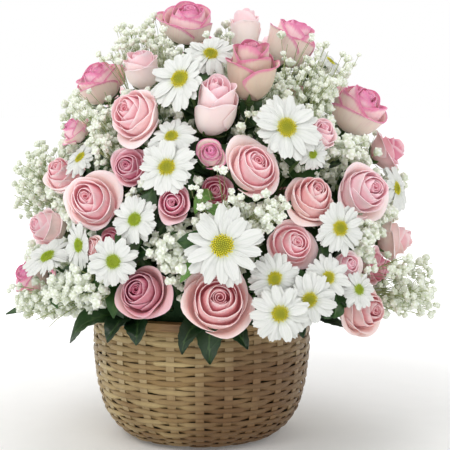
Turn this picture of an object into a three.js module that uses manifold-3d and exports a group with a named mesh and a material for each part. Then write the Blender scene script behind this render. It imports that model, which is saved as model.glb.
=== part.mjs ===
// A round woven basket filled with a dome of roses, daisy chrysanthemums, baby's breath and leaves.
// Every stem stands in its own hole in a block of wet floral foam, which sits in a plastic liner.
// Millimetres, +Z up, the front faces -Y. The origin is the middle of the basket's flat base.
import * as THREE from "three";
import { mergeVertices } from "three/addons/utils/BufferGeometryUtils.js";
import Module from "manifold-3d";

const wasm = await Module();
wasm.setup();

// ---------------------------------------------------------------- driving dimensions
const GAP = 0.3; // air left between two pieces that touch
const STAKES = 24; // upright splints of the basket
const WEAVE_ROWS = 9; // woven rows, drawn coarser than life
const WEAVE_RELIEF = 1.1; // how far a row swells out over a stake
const WALL_THICK = 4.5;
const FLOOR_THICK = 5;
const RIM_BOTTOM = 111.5;
const RIM_TOP = 120;
const RIM_INSIDE = 94.5;
const RIM_OUTSIDE = 103.5;
const RIM_BEVEL = 1.5;
const BASE_RADIUS = 60;
const WALL_TOP = RIM_BOTTOM - GAP;
// Radius and height of the basket's outside, from the base up.
const BASKET_OUTLINE = [
  [BASE_RADIUS, 0],
  [72, 3.5],
  [82, 12.5],
  [91, 27],
  [97, 50],
  [100, 80],
  [99.5, WALL_TOP],
];
const INSIDE_HEIGHTS = [13, 50]; // the basket's and the liner's walls bend at these heights
const WEAVE_START = 5; // height of the lowest woven row's lower edge
const FLOOR_CORNER = 3; // the wall's foot rounds into the floor over this width
const LINER_THICK = 1.2;
const LINER_CORNER = 5;
const LINER_ROOM = 0.7; // air between the liner's mouth and the hoop
const LINER_TOP = 116;
const LINER_SIDES = 16;
const FOAM_SIDES = 16;
// Radius and height of the foam, from its underside to its top.
const FOAM_BOTTOM = FLOOR_THICK + GAP + LINER_THICK + GAP;
const FOAM_OUTLINE = [
  [60, FOAM_BOTTOM],
  [80, 34],
  [87, 66],
  [87, 122],
  [80, 148],
  [56, 166],
];
const DOME_CENTRE = new THREE.Vector3(8, 0, 118); // blooms are placed round this point
const STEM_FOCUS = new THREE.Vector3(6, 0, 92); // every stem is pushed in towards this point
const LOWEST_STEM = 22; // least slope of a bloom's stem where it leaves the foam, in degrees
const LEAF_SLOPE = 18; // slope of a leafy stem
const STEM_DEPTH = 20; // how deep a stem stands in the foam
const STEM_MOUTH = 3; // a stem leaves the foam straight for this length
const LEAVING_PULL = 0.45; // how long a stem keeps its leaving and its arriving way, as shares of
const ARRIVING_PULL = 0.3; // the span between its mouth and its head
const STEM_SIDES = 4;
const ROSE_STEM = 2.3; // radii of the stems
const DAISY_STEM = 1.7;
const BREATH_STEM = 1.3;
const LEAF_STEM = 1.5;
const KNOT_REACH = 3; // leaves spring from a knot this far outside the stem's mouth
const LEAF_STEP = 1.5; // and leave the stem this far apart
const ROSE_DEPTH = 0.72; // how far behind its middle a head meets its stem, as a share of its radius
const DAISY_DEPTH = 0.3;
const ROSE_FULLNESS = 1.1; // the tips of the open petals reach this far past a rose's radius
const DAISY_FULLNESS = 1.04;
const TWIG = 0.55;
const FLORET_RADIUS = 3.6;
const FLORET_SPACING = FLORET_RADIUS * 2 + 2;
const FIRST_TWIG = 1.3; // how far inside a spray's fork its twigs start
const TWIG_STEP = 0.9; // and how far apart
const TWIG_UNEVEN = 0.035; // how much twigs differ in length, as a share
const FRONT = -90; // plan angle of the front, in degrees
const GOLDEN = 137.508; // golden angle, which keeps turning repeats from lining up
const UP = new THREE.Vector3(0, 0, 1);

// A bloom stands at an azimuth round the dome (0 in front, 90 to the right), an elevation above
// the dome's centre and a reach from it. `face` is the azimuth and elevation that it looks
// towards, `tall` stretches a rose that is still closed, and `on` names the bloom whose stem it
// branches from.
const ROSES = [
  { name: "rose_crown_left", az: -62, el: 85, reach: 256, radius: 26, face: [12, 58], tall: 0.9 },
  {
    name: "rose_crown_bud", az: 62, el: 82, reach: 250, radius: 15, face: [30, 84],
    tall: 1.7, on: "rose_crown_left",
  },
  { name: "rose_crown_right", az: 84, el: 73, reach: 247, radius: 23, face: [60, 62], tall: 1.25 },
  { name: "rose_crown_front", az: 22, el: 66, reach: 229, radius: 23, face: [8, 72], tall: 1.45 },
  { name: "rose_shoulder_left", az: -79, el: 64, reach: 224, radius: 23, face: [-50, 58] },
  { name: "rose_shoulder_back", az: -48, el: 70, reach: 226, radius: 17, face: [-30, 66], tall: 1.3 },
  { name: "rose_upper_centre", az: 1.5, el: 60, reach: 208, radius: 23, face: [6, 62], tall: 1.45 },
  { name: "rose_upper_left", az: -31, el: 57, reach: 208, radius: 26, face: [-34, 22] },
  {
    name: "rose_edge_left", az: -68, el: 52, reach: 204, radius: 14, face: [-60, 45],
    on: "rose_shoulder_left",
  },
  { name: "rose_dusky_left", az: -32, el: 47, reach: 180, radius: 18, face: [-12, 18] },
  { name: "rose_heart", az: 1, el: 49, reach: 190, radius: 13, face: [0, 28], on: "rose_centre" },
  { name: "rose_upper_right", az: 85, el: 53, reach: 222, radius: 28, face: [48, 50] },
  {
    name: "rose_edge_right", az: 92, el: 41, reach: 214, radius: 20, face: [82, 30],
    on: "rose_upper_right",
  },
  {
    name: "rose_pale_right", az: 46, el: 51, reach: 202, radius: 15, face: [30, 42],
    tall: 1.2, on: "rose_right",
  },
  { name: "rose_centre", az: 16, el: 45, reach: 189, radius: 27, face: [18, 26] },
  { name: "rose_centre_right", az: 35, el: 36, reach: 181, radius: 24, face: [25, 36] },
  { name: "rose_right", az: 58, el: 36, reach: 189, radius: 26, face: [30, 14] },
  { name: "rose_left", az: -42, el: 36, reach: 176, radius: 28, face: [-14, 18] },
  { name: "rose_far_left", az: -73, el: 42, reach: 181, radius: 20, face: [-30, 40] },
  { name: "rose_small_centre", az: -11, el: 36, reach: 181, radius: 16, face: [-6, 18] },
  {
    name: "rose_deep_centre", az: 3, el: 45, reach: 160, radius: 14, face: [0, 12],
    on: "rose_small_centre",
  },
  { name: "rose_mid_right", az: 27, el: 26, reach: 163, radius: 22, face: [20, 16] },
  {
    name: "rose_low_far_left", az: -81, el: 27, reach: 164, radius: 21, face: [-52, 16],
    on: "rose_far_left",
  },
  { name: "rose_bud_left", az: -80, el: 10, reach: 163, radius: 16, face: [-56, 30], tall: 1.2 },
  { name: "rose_mid_left", az: -36, el: 28, reach: 152, radius: 13, face: [-20, 10], on: "rose_left" },
  {
    name: "rose_small_left", az: -37, el: 23.5, reach: 170, radius: 11, face: [-40, 12],
    on: "rose_low_left",
  },
  { name: "rose_low_left", az: -21, el: 13, reach: 152, radius: 24, face: [-16, 18] },
  { name: "rose_low_centre", az: 3, el: 10, reach: 151, radius: 31, face: [5, 22] },
  {
    name: "rose_small_right", az: 44, el: 18, reach: 170, radius: 14, face: [28, 16],
    on: "rose_mid_right",
  },
  { name: "rose_low_right", az: 57, el: 4, reach: 154, radius: 25, face: [40, 4] },
  {
    name: "rose_shaded_right", az: 74, el: 15, reach: 157, radius: 17, face: [62, -2],
    on: "rose_low_right",
  },
  { name: "rose_low_far_right", az: 88, el: 20, reach: 178, radius: 21, face: [84, 4] },
  { name: "rose_back_low_1", az: 116, el: 10, reach: 160, radius: 26, face: [112, 10] },
  { name: "rose_back_low_2", az: 147, el: 12, reach: 152, radius: 27, face: [146, 14] },
  { name: "rose_back_low_3", az: 180, el: 10, reach: 150, radius: 28, face: [180, 12] },
  { name: "rose_back_low_4", az: 212, el: 12, reach: 152, radius: 27, face: [214, 14] },
  { name: "rose_back_low_5", az: 243, el: 9, reach: 158, radius: 25, face: [248, 8] },
  {
    name: "rose_back_mid_1", az: 120, el: 36, reach: 184, radius: 26, face: [116, 32],
    on: "rose_back_low_1",
  },
  {
    name: "rose_back_mid_2", az: 149, el: 38, reach: 174, radius: 27, face: [150, 32],
    on: "rose_back_low_2",
  },
  {
    name: "rose_back_mid_3", az: 180, el: 36, reach: 170, radius: 27, face: [182, 34],
    on: "rose_back_low_3",
  },
  {
    name: "rose_back_mid_4", az: 211, el: 38, reach: 172, radius: 26, face: [212, 30],
    on: "rose_back_low_4",
  },
  {
    name: "rose_back_mid_5", az: 243, el: 38, reach: 176, radius: 25, face: [250, 34],
    on: "rose_back_low_5",
  },
  { name: "rose_back_high_1", az: 128, el: 60, reach: 214, radius: 25, face: [126, 52] },
  {
    name: "rose_back_high_2", az: 182, el: 60, reach: 204, radius: 27, face: [180, 50],
    on: "rose_back_high_1",
  },
  { name: "rose_back_high_3", az: 232, el: 60, reach: 208, radius: 25, face: [238, 52] },
  {
    name: "rose_back_high_4", az: 118, el: 75, reach: 238, radius: 22, face: [112, 66],
    on: "rose_back_high_1",
  },
  {
    name: "rose_back_top", az: 186, el: 78, reach: 236, radius: 23, face: [180, 70],
    on: "rose_back_high_3",
  },
];

const DAISIES = [
  { name: "daisies_crown", az: 1, el: 73, reach: 237, radius: 23, face: [6, 42] },
  {
    name: "daisy_crown_left", az: -12, el: 62, reach: 232, radius: 28, face: [-24, 26],
    on: "daisies_crown",
  },
  { name: "daisies_left_centre", az: -14, el: 52, reach: 201, radius: 21, face: [-10, 42] },
  {
    name: "daisy_heart_left", az: -13, el: 43, reach: 197, radius: 25, face: [-12, 22],
    on: "daisies_left_centre",
  },
  { name: "daisies_upper_right", az: 27, el: 50, reach: 216, radius: 29, face: [12, 20] },
  {
    name: "daisy_green_eye", az: 36, el: 45, reach: 204, radius: 14, face: [22, 4],
    on: "daisies_upper_right",
  },
  { name: "daisies_left", az: -22, el: 31, reach: 180, radius: 22, face: [-28, 20] },
  { name: "daisy_left_low", az: -27, el: 20, reach: 176, radius: 22, face: [-12, 6], on: "daisies_left" },
  { name: "daisy_front", az: 4, el: 24, reach: 184, radius: 32, face: [-3, 14] },
  { name: "daisy_right", az: 40, el: 27, reach: 186, radius: 23, face: [22, 12] },
  { name: "daisies_low_right", az: 19, el: 16, reach: 170, radius: 22, face: [6, 12] },
  {
    name: "daisy_low_right_2", az: 19, el: 7, reach: 176, radius: 24, face: [2, 6],
    on: "daisies_low_right",
  },
  { name: "daisies_low_edge", az: 28, el: 10, reach: 174, radius: 23, face: [12, -2] },
  {
    name: "daisy_low_edge_2", az: 34, el: 15, reach: 178, radius: 20, face: [16, 14],
    on: "daisies_low_edge",
  },
  {
    name: "daisy_low_edge_3", az: 43, el: 11, reach: 182, radius: 17, face: [32, 18],
    on: "daisies_low_edge",
  },
  { name: "daisies_far_left", az: -43, el: 24, reach: 170, radius: 22, face: [-50, 2] },
  {
    name: "daisy_far_left_2", az: -59, el: 19, reach: 169, radius: 24, face: [-34, 52],
    on: "daisies_far_left",
  },
  {
    name: "daisy_left_high", az: -58, el: 47, reach: 190, radius: 19, face: [-48, 38],
    on: "daisies_far_left",
  },
  { name: "daisy_edge_right", az: 83, el: 33, reach: 201, radius: 22, face: [56, 14] },
  { name: "daisy_crown_right", az: 86, el: 64, reach: 248, radius: 18, face: [66, 44] },
  { name: "daisies_back_left", az: 228, el: 26, reach: 178, radius: 23, face: [230, 20] },
  {
    name: "daisy_back_left_2", az: 258, el: 22, reach: 170, radius: 21, face: [260, 14],
    on: "daisies_back_left",
  },
  {
    name: "daisy_back_left_3", az: 226, el: 49, reach: 196, radius: 22, face: [224, 40],
    on: "daisies_back_left",
  },
  { name: "daisies_back_right", az: 133, el: 22, reach: 176, radius: 23, face: [132, 18] },
  {
    name: "daisy_back_right_2", az: 164, el: 23, reach: 172, radius: 23, face: [164, 20],
    on: "daisies_back_right",
  },
  {
    name: "daisy_back_right_3", az: 156, el: 55, reach: 204, radius: 23, face: [156, 44],
    on: "daisies_back_right",
  },
  {
    name: "daisy_back_left_4", az: 264, el: 66, reach: 226, radius: 22, face: [262, 52],
    on: "daisies_back_left",
  },
  { name: "daisy_side_right", az: 102, el: 6, reach: 168, radius: 21, face: [100, 0] },
  {
    name: "daisy_back_middle", az: 196, el: 24, reach: 174, radius: 22, face: [196, 20],
    on: "daisies_back_left",
  },
];

// A spray of baby's breath fans out by `spread` degrees round its own direction.
const BREATH = [
  { name: "breath_crown_left", az: -60, el: 74, reach: 252, spread: 16 },
  { name: "breath_crown_right", az: 70, el: 66, reach: 256, spread: 17 },
  { name: "breath_upper_left", az: -52, el: 56, reach: 218, spread: 20 },
  { name: "breath_far_left", az: -88, el: 34, reach: 206, spread: 20 },
  { name: "breath_centre", az: 10, el: 36, reach: 196, spread: 15 },
  { name: "breath_low_left", az: -58, el: 6, reach: 172, spread: 22 },
  { name: "breath_right", az: 74, el: 12, reach: 200, spread: 22 },
  { name: "breath_back_left", az: 232, el: 38, reach: 204, spread: 26 },
  { name: "breath_back_right", az: 134, el: 40, reach: 208, spread: 26 },
];
const FLORETS = 8; // florets on a spray

// A leafy stem and its leaves: where each leaf bends over the rim, where its tip lies, its width, and
// the way that its upper face leans where that isn't straight up.
const LEAFY_STEMS = [
  {
    name: "leaves_front",
    az: 10,
    leaves: [
      { bend: [6, -120, 127], tip: [9, -113, 87], width: 25 },
      { bend: [-12, -118, 127], tip: [-14, -115, 96], width: 18 },
      { bend: [28, -116, 127], tip: [40, -114, 100], width: 20 },
    ],
  },
  {
    name: "leaves_front_left",
    az: -38,
    leaves: [
      { bend: [-68, -100, 126], tip: [-78, -104, 104], width: 23 },
      { bend: [-50, -108, 124], tip: [-53, -112, 103], width: 22 },
      { bend: [-102, -84, 127], tip: [-113, -74, 97], width: 24 },
    ],
  },
  {
    name: "leaves_left",
    az: -96,
    leaves: [
      { bend: [-128, -12, 132], tip: [-178, -22, 113], width: 14, lean: [0, -1, 0.7] },
      { bend: [-114, 14, 134], tip: [-130, 24, 106], width: 20, lean: [0, -1, 1.4] },
    ],
  },
  {
    name: "leaves_right",
    az: 42,
    leaves: [
      { bend: [84, -88, 124], tip: [88, -96, 106], width: 20 },
      { bend: [108, -62, 124], tip: [128, -66, 108], width: 21 },
    ],
  },
  {
    name: "leaves_back",
    az: 165,
    leaves: [
      { bend: [32, 118, 129], tip: [36, 122, 98], width: 20 },
      { bend: [0, 120, 129], tip: [-10, 124, 100], width: 19 },
      { bend: [62, 106, 129], tip: [78, 110, 102], width: 20 },
    ],
  },
];

// ---------------------------------------------------------------- directions and frames
function direction(azimuth, elevation) {
  const plan = THREE.MathUtils.degToRad(azimuth + FRONT);
  const rise = THREE.MathUtils.degToRad(elevation);
  const level = Math.cos(rise);
  return new THREE.Vector3(Math.cos(plan) * level, Math.sin(plan) * level, Math.sin(rise));
}

function turnTo(axis) {
  return new THREE.Quaternion().setFromUnitVectors(UP, axis);
}

// A point on a ring: `turn` runs from 0 to 1 round the ring's axis.
function ringPoint(origin, turned, turn, out, up) {
  const angle = turn * 2 * Math.PI;
  const local = new THREE.Vector3(out * Math.cos(angle), out * Math.sin(angle), up);
  return { turn: turn - Math.floor(turn), at: local.applyQuaternion(turned).add(origin) };
}

function plainRing(origin, turned, count, out, up, shift = 0) {
  const ring = [];
  for (let step = 0; step < count; step++) {
    ring.push(ringPoint(origin, turned, step / count + shift, out, up));
  }
  return ring.sort((a, b) => a.turn - b.turn);
}

// ---------------------------------------------------------------- closed skins
// Joins two rings by triangles. Rings may have different numbers of points.
function stitch(upper, lower, upperStart, lowerStart, faces) {
  const nextTurn = (ring, step) => ring[step + 1]?.turn ?? ring[0].turn + 1;
  let a = 0;
  let b = 0;
  const stepsA = upper.length === 1 ? 0 : upper.length;
  const stepsB = lower.length === 1 ? 0 : lower.length;
  while (a < stepsA || b < stepsB) {
    const indexA = upperStart + (a % upper.length);
    const indexB = lowerStart + (b % lower.length);
    if (b >= stepsB || (a < stepsA && nextTurn(upper, a) <= nextTurn(lower, b))) {
      faces.push(indexA, indexB, upperStart + ((a + 1) % upper.length));
      a += 1;
    } else {
      faces.push(indexA, indexB, lowerStart + ((b + 1) % lower.length));
      b += 1;
    }
  }
}

function signedVolume(points, faces) {
  let volume = 0;
  for (let i = 0; i < faces.length; i += 3) {
    const [a, b, c] = [points[faces[i]], points[faces[i + 1]], points[faces[i + 2]]];
    volume += a.dot(new THREE.Vector3().crossVectors(b, c)) / 6;
  }
  return volume;
}

// The closed surface through a row of rings. A ring of one point is a tip, and any other ring at
// either end is closed by a fan.
function skin(rings) {
  const points = [];
  const faces = [];
  const starts = rings.map((ring) => {
    points.push(...ring.map(({ at }) => at));
    return points.length - ring.length;
  });
  const last = rings.length - 1;
  for (let i = 2; i < rings[0].length; i++) {
    faces.push(starts[0], starts[0] + i - 1, starts[0] + i);
  }
  for (let i = 2; i < rings[last].length; i++) {
    faces.push(starts[last], starts[last] + i, starts[last] + i - 1);
  }
  for (let k = 0; k < last; k++) {
    stitch(rings[k], rings[k + 1], starts[k], starts[k + 1], faces);
  }
  if (signedVolume(points, faces) < 0) {
    faces.reverse();
  }
  return { points, faces };
}

function solid({ points, faces }) {
  const numbers = points.flatMap((point) => point.toArray());
  const mesh = { numProp: 3, vertProperties: new Float32Array(numbers), triVerts: new Uint32Array(faces) };
  return new wasm.Manifold(new wasm.Mesh(mesh));
}

function latheSolid(outline, sides) {
  const profile = outline.map(([radius, height]) => new THREE.Vector2(radius, height));
  const lathe = new THREE.LatheGeometry(profile, sides).rotateX(Math.PI / 2);
  lathe.deleteAttribute("normal");
  lathe.deleteAttribute("uv");
  const merged = mergeVertices(lathe, 1e-4);
  const positions = merged.getAttribute("position");
  const points = [];
  for (let i = 0; i < positions.count; i++) {
    points.push(new THREE.Vector3().fromBufferAttribute(positions, i));
  }
  const faces = [];
  const index = Array.from(merged.getIndex().array);
  for (let i = 0; i < index.length; i += 3) {
    const corners = index.slice(i, i + 3);
    if (new Set(corners).size === 3) {
      faces.push(...corners);
    }
  }
  if (signedVolume(points, faces) < 0) {
    faces.reverse();
  }
  return solid({ points, faces });
}

// ---------------------------------------------------------------- stems
function foamRadiusAt(height) {
  for (let i = 1; i < FOAM_OUTLINE.length; i++) {
    const [radiusA, heightA] = FOAM_OUTLINE[i - 1];
    const [radiusB, heightB] = FOAM_OUTLINE[i];
    if (height <= heightB) {
      return radiusA + ((radiusB - radiusA) * (height - heightA)) / (heightB - heightA);
    }
  }
  return 0;
}

// How far from the stem focus a line in this direction comes out of the foam.
const REACH_START = 20;
const REACH_STEP = 0.5;
function foamReach(along) {
  let reach = REACH_START;
  let inside = true;
  while (inside) {
    reach += REACH_STEP;
    const point = STEM_FOCUS.clone().addScaledVector(along, reach);
    inside = Math.hypot(point.x, point.y) <= foamRadiusAt(point.z);
  }
  return reach;
}

function leavingDirection(target, slope) {
  const along = target.clone().sub(STEM_FOCUS).normalize();
  const level = Math.hypot(along.x, along.y);
  const lowest = THREE.MathUtils.degToRad(slope);
  if (Math.atan2(along.z, level) < lowest) {
    const stretch = Math.cos(lowest) / level;
    along.set(along.x * stretch, along.y * stretch, Math.sin(lowest));
  }
  return along;
}

// The route of a stem: its foot in the foam, where it comes out, and a bend round to `arriving`
// the head's back along the way that the head looks.
function stemRoute(back, arriving, steps, slope = LOWEST_STEM) {
  const along = leavingDirection(back, slope);
  const reach = foamReach(along);
  const foot = STEM_FOCUS.clone().addScaledVector(along, reach - STEM_DEPTH);
  const mouth = STEM_FOCUS.clone().addScaledVector(along, reach + STEM_MOUTH);
  const span = mouth.distanceTo(back);
  const curve = new THREE.CubicBezierCurve3(
    mouth,
    mouth.clone().addScaledVector(along, span * LEAVING_PULL),
    back.clone().addScaledVector(arriving, -span * ARRIVING_PULL),
    back,
  );
  return { along, foot, points: [foot, ...curve.getPoints(steps)] };
}

// Round rings along a route, from its far end back to its foot.
function stemRings(points, radius, sides = STEM_SIDES) {
  const rings = [];
  for (let i = points.length - 1; i >= 0; i--) {
    const before = points[Math.max(i - 1, 0)];
    const after = points[Math.min(i + 1, points.length - 1)];
    const along = i === 0 ? points[1].clone().sub(points[0]) : after.clone().sub(before);
    if (i === 1) {
      along.copy(points[1]).sub(points[0]);
    }
    rings.push(plainRing(points[i], turnTo(along.normalize()), sides, radius, 0));
  }
  return rings;
}

// ---------------------------------------------------------------- heads
// Crests of a rose's petal layers from its eye outwards, as shares of its radius: how wide and
// high each stands and how deep the valley outside it lies.
const ROSE_CRESTS = [
  { petals: 2, radius: 0.23, height: 0.74, valley: 0.29, dip: 0.5 },
  { petals: 5, radius: 0.49, height: 0.68, valley: 0.56, dip: 0.34 },
  { petals: 5, radius: 0.75, height: 0.46, valley: 0.82, dip: 0.12 },
];
const SMALL_ROSE_CRESTS = [
  { petals: 2, radius: 0.3, height: 0.76, valley: 0.38, dip: 0.48 },
  { petals: 5, radius: 0.64, height: 0.56, valley: 0.76, dip: 0.18 },
];
const LAYER_TURN = 0.31; // each layer of petals starts this much of a turn further round
// Height of a rose's eye and of its guard petals' tips, then width and height of its cup.
const ROSE_EYE = 0.6;
const GUARD_HEIGHT = 0.16;
const CUP_BELLY = [0.84, -0.22];
const CUP_FOOT = [0.36, -0.6];
const GUARD_PETALS = 5;
const CUP_SIDES = 6;
const VALLEY_SIDES = 5;
const SMALL_ROSE = 27; // a rose below this radius has one layer less
const BUD_ROSE = 24; // a rose below this radius has plainer outer petals
// Each petal's edge starts proud of its neighbour and ends tucked under the next one.
const PETAL_STEPS = [
  { along: 0.08, out: 1.04, rise: 0.02 },
  { along: 0.84, out: 0.88, rise: -0.05 },
];
const OUTER_PETAL_STEPS = [
  { along: 0.05, out: 0.94, rise: 0.1 },
  { along: 0.45, out: 1, rise: 0 },
  { along: 0.88, out: 0.84, rise: -0.06 },
];

function petalRing(origin, turned, petals, steps, radius, height, shift, size) {
  const ring = [];
  for (let petal = 0; petal < petals; petal++) {
    for (const { along, out, rise } of steps) {
      const turn = (petal + along) / petals + shift;
      ring.push(ringPoint(origin, turned, turn, radius * out, height + rise * size));
    }
  }
  return ring.sort((a, b) => a.turn - b.turn);
}

function roseHead({ centre, axis, radius, tall = 1 }, spin) {
  const turned = turnTo(axis);
  const crests = radius < SMALL_ROSE ? SMALL_ROSE_CRESTS : ROSE_CRESTS;
  const high = radius * tall;
  const rings = [[ringPoint(centre, turned, 0, 0, ROSE_EYE * high)]];
  crests.forEach(({ petals, radius: wide, height, valley, dip }, layer) => {
    const shift = spin + layer * LAYER_TURN;
    rings.push(petalRing(centre, turned, petals, PETAL_STEPS, wide * radius, height * high, shift, radius));
    rings.push(plainRing(centre, turned, VALLEY_SIDES, valley * radius, dip * high, shift));
  });
  const outer = spin + crests.length * LAYER_TURN;
  const outerSteps = radius < BUD_ROSE ? PETAL_STEPS : OUTER_PETAL_STEPS;
  rings.push(petalRing(centre, turned, GUARD_PETALS, outerSteps, radius, GUARD_HEIGHT * high, outer, radius));
  rings.push(plainRing(centre, turned, CUP_SIDES, CUP_BELLY[0] * radius, CUP_BELLY[1] * high));
  rings.push(plainRing(centre, turned, STEM_SIDES, CUP_FOOT[0] * radius, CUP_FOOT[1] * high));
  return rings;
}

// A daisy's shape, as shares of its radius: (width, height) of its disc, of the rays' roots, of the
// notches between rays and of its back, then how low and how long alternate rays are.
const DAISY_RAYS = 12;
const DISC_SIDES = 5;
const DISC_TOP = [0, 0.17];
const DISC_EDGE = [0.15, 0.14];
const RAY_ROOT = [0.24, 0.05];
const NOTCH = [0.44, -0.02];
const DAISY_BACK = [0.12, -0.16];
const RAY_DROOPS = [0.02, -0.1];
const RAY_LENGTHS = [1, 0.94, 0.94];
const RAY_HALF = 0.34; // half a ray's width, as a share of the step from ray to ray

function daisyHead({ centre, axis, radius }, spin) {
  const turned = turnTo(axis);
  const rim = [];
  for (let ray = 0; ray < DAISY_RAYS; ray++) {
    const droop = RAY_DROOPS[ray % RAY_DROOPS.length] * radius;
    const long = RAY_LENGTHS[ray % RAY_LENGTHS.length] * radius;
    for (const side of [-RAY_HALF, RAY_HALF]) {
      rim.push(ringPoint(centre, turned, (ray + side) / DAISY_RAYS + spin, long, droop));
    }
    const between = (ray + 0.5) / DAISY_RAYS + spin;
    rim.push(ringPoint(centre, turned, between, NOTCH[0] * radius, NOTCH[1] * radius));
  }
  rim.sort((a, b) => a.turn - b.turn);
  const ring = (count, [out, up], shift) => {
    return plainRing(centre, turned, count, out * radius, up * radius, shift);
  };
  return [
    ring(1, DISC_TOP),
    ring(DISC_SIDES, DISC_EDGE, spin),
    ring(DAISY_RAYS, RAY_ROOT, spin),
    rim,
    ring(STEM_SIDES, DAISY_BACK),
  ];
}

// ---------------------------------------------------------------- blooms, placed
const placed = new Map();

function placeBloom(entry, kind, order) {
  const rose = kind === "rose";
  const axis = direction(...entry.face);
  const centre = DOME_CENTRE.clone().addScaledVector(direction(entry.az, entry.el), entry.reach);
  const radius = entry.radius * (rose ? ROSE_FULLNESS : DAISY_FULLNESS);
  const bloom = { ...entry, kind, axis, centre, radius };
  const spin = ((order * GOLDEN) % 360) / 360;
  bloom.stem = rose ? ROSE_STEM : DAISY_STEM;
  bloom.head = rose ? roseHead(bloom, spin) : daisyHead(bloom, spin);
  const depth = rose ? ROSE_DEPTH * radius * (entry.tall ?? 1) : DAISY_DEPTH * radius;
  bloom.back = centre.clone().addScaledVector(axis, -depth);
  placed.set(entry.name, bloom);
}

ROSES.forEach((entry, order) => placeBloom(entry, "rose", order));
DAISIES.forEach((entry, order) => placeBloom(entry, "daisy", order));
const blooms = [...placed.values()];

// ---------------------------------------------------------------- heads pressed clear of each other
const HEAD_AIR = 0.6; // air left between two heads
const PRESS_PASSES = 3;
const PRESS_DIRECTIONS = 160;
const PRESS_CONE = 0.2; // least cosine between a tried direction and the line from head to head
const PRESS_SPARE = 0.02; // pressed this much further than needed
const PRESS_START = 0.15; // a pressed side gives from this share of its depth outwards
const PRESS_LEAST = 0.05; // and keeps at least this share of its depth
const NEIGHBOUR_ROOM = 12; // heads further apart than this never touch,
const NEIGHBOUR_SHARE = 1.2; // times the reach of the two heads
const probes = [];
for (let i = 0; i < PRESS_DIRECTIONS; i++) {
  const height = 1 - (2 * (i + 0.5)) / PRESS_DIRECTIONS;
  const level = Math.sqrt(1 - height * height);
  const plan = THREE.MathUtils.degToRad(i * GOLDEN);
  probes.push(new THREE.Vector3(Math.cos(plan) * level, Math.sin(plan) * level, height));
}

function extent(head, along) {
  let low = Infinity;
  let high = -Infinity;
  for (const ring of head) {
    for (const { at } of ring) {
      const value = at.dot(along);
      low = Math.min(low, value);
      high = Math.max(high, value);
    }
  }
  return { low, high };
}

// Squeezes the side of a head that lies beyond its middle, so that it ends `by` sooner.
function squeeze(bloom, along, by) {
  const middle = bloom.centre.dot(along);
  const { high } = extent(bloom.head, along);
  const start = middle + PRESS_START * (high - middle);
  const keep = Math.max(1 - by / (high - start), PRESS_LEAST);
  for (const ring of bloom.head) {
    for (const point of ring) {
      const past = point.at.dot(along) - start;
      if (past > 0) {
        point.at.addScaledVector(along, past * (keep - 1));
      }
    }
  }
}

function pressApart(first, second, air) {
  const between = second.centre.clone().sub(first.centre).normalize();
  let best = { gap: -Infinity, along: between };
  for (const probe of [between, ...probes]) {
    if (probe.dot(between) > PRESS_CONE) {
      const gap = extent(second.head, probe).low - extent(first.head, probe).high;
      if (gap > best.gap) {
        best = { gap, along: probe };
      }
    }
  }
  if (best.gap < air) {
    const by = (air - best.gap) / 2 + PRESS_SPARE;
    squeeze(first, best.along, by);
    squeeze(second, best.along.clone().negate(), by);
  }
}

for (let pass = 0; pass < PRESS_PASSES; pass++) {
  for (let i = 0; i < blooms.length; i++) {
    for (let j = i + 1; j < blooms.length; j++) {
      const near = (blooms[i].radius + blooms[j].radius + NEIGHBOUR_ROOM) * NEIGHBOUR_SHARE;
      if (blooms[i].centre.distanceTo(blooms[j].centre) < near) {
        pressApart(blooms[i], blooms[j], HEAD_AIR);
      }
    }
  }
}

// ---------------------------------------------------------------- stems kept clear of heads
const STEM_STEPS = 4; // stretches of a stem outside the foam
const STEM_ROOM = 1.2; // air kept between a stem and another bloom's head
const RIM_ROOM = 127; // stems pass over the rim at least this high
const RIM_MARGIN = 11; // on either side of the rim
const ROUTE_PASSES = 40;
const ROSE_ENVELOPE = 1.02; // radius of the ball that a stem keeps out of, as a share of the head's
const DAISY_ENVELOPE = 0.62;

function envelope(bloom) {
  return bloom.radius * (bloom.kind === "rose" ? ROSE_ENVELOPE : DAISY_ENVELOPE);
}

function pushOut(point, middle, keep) {
  const away = point.clone().sub(middle);
  const distance = away.length();
  if (distance < keep) {
    point.addScaledVector(away.normalize(), keep - distance);
  }
}

// Moves the free points of a route out of the heads that it would cross. The points before
// `firstFree` and the last one stay.
function clearRoute(points, firstFree, radius, own) {
  for (let pass = 0; pass < ROUTE_PASSES; pass++) {
    for (let i = firstFree; i < points.length - 1; i++) {
      for (const other of blooms) {
        if (other !== own) {
          pushOut(points[i], other.centre, envelope(other) + radius + STEM_ROOM);
        }
      }
      const level = Math.hypot(points[i].x, points[i].y);
      if (level > RIM_INSIDE - RIM_MARGIN && level < RIM_OUTSIDE + RIM_MARGIN) {
        points[i].z = Math.max(points[i].z, RIM_ROOM + radius);
      }
    }
  }
  return points;
}

// Leaves out the free points that hardly bend a route.
const LEAST_BEND = 1.2;
function withoutStraights(points, firstFree) {
  return points.filter((point, i) => {
    if (i < firstFree || i === points.length - 1) {
      return true;
    }
    return distanceToLine(point, points[i - 1], points[i + 1]) > LEAST_BEND;
  });
}

function distanceToLine(point, from, to) {
  return new THREE.Line3(from, to).closestPointToPoint(point, true, new THREE.Vector3()).distanceTo(point);
}

const holes = [];
for (const bloom of blooms.filter(({ on }) => !on)) {
  const route = stemRoute(bloom.back, bloom.axis, STEM_STEPS);
  bloom.route = withoutStraights(clearRoute(route.points, 2, bloom.stem, bloom), 2);
  bloom.foot = route.foot;
  holes.push({ along: route.along, foot: route.foot, radius: bloom.stem });
}

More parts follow.
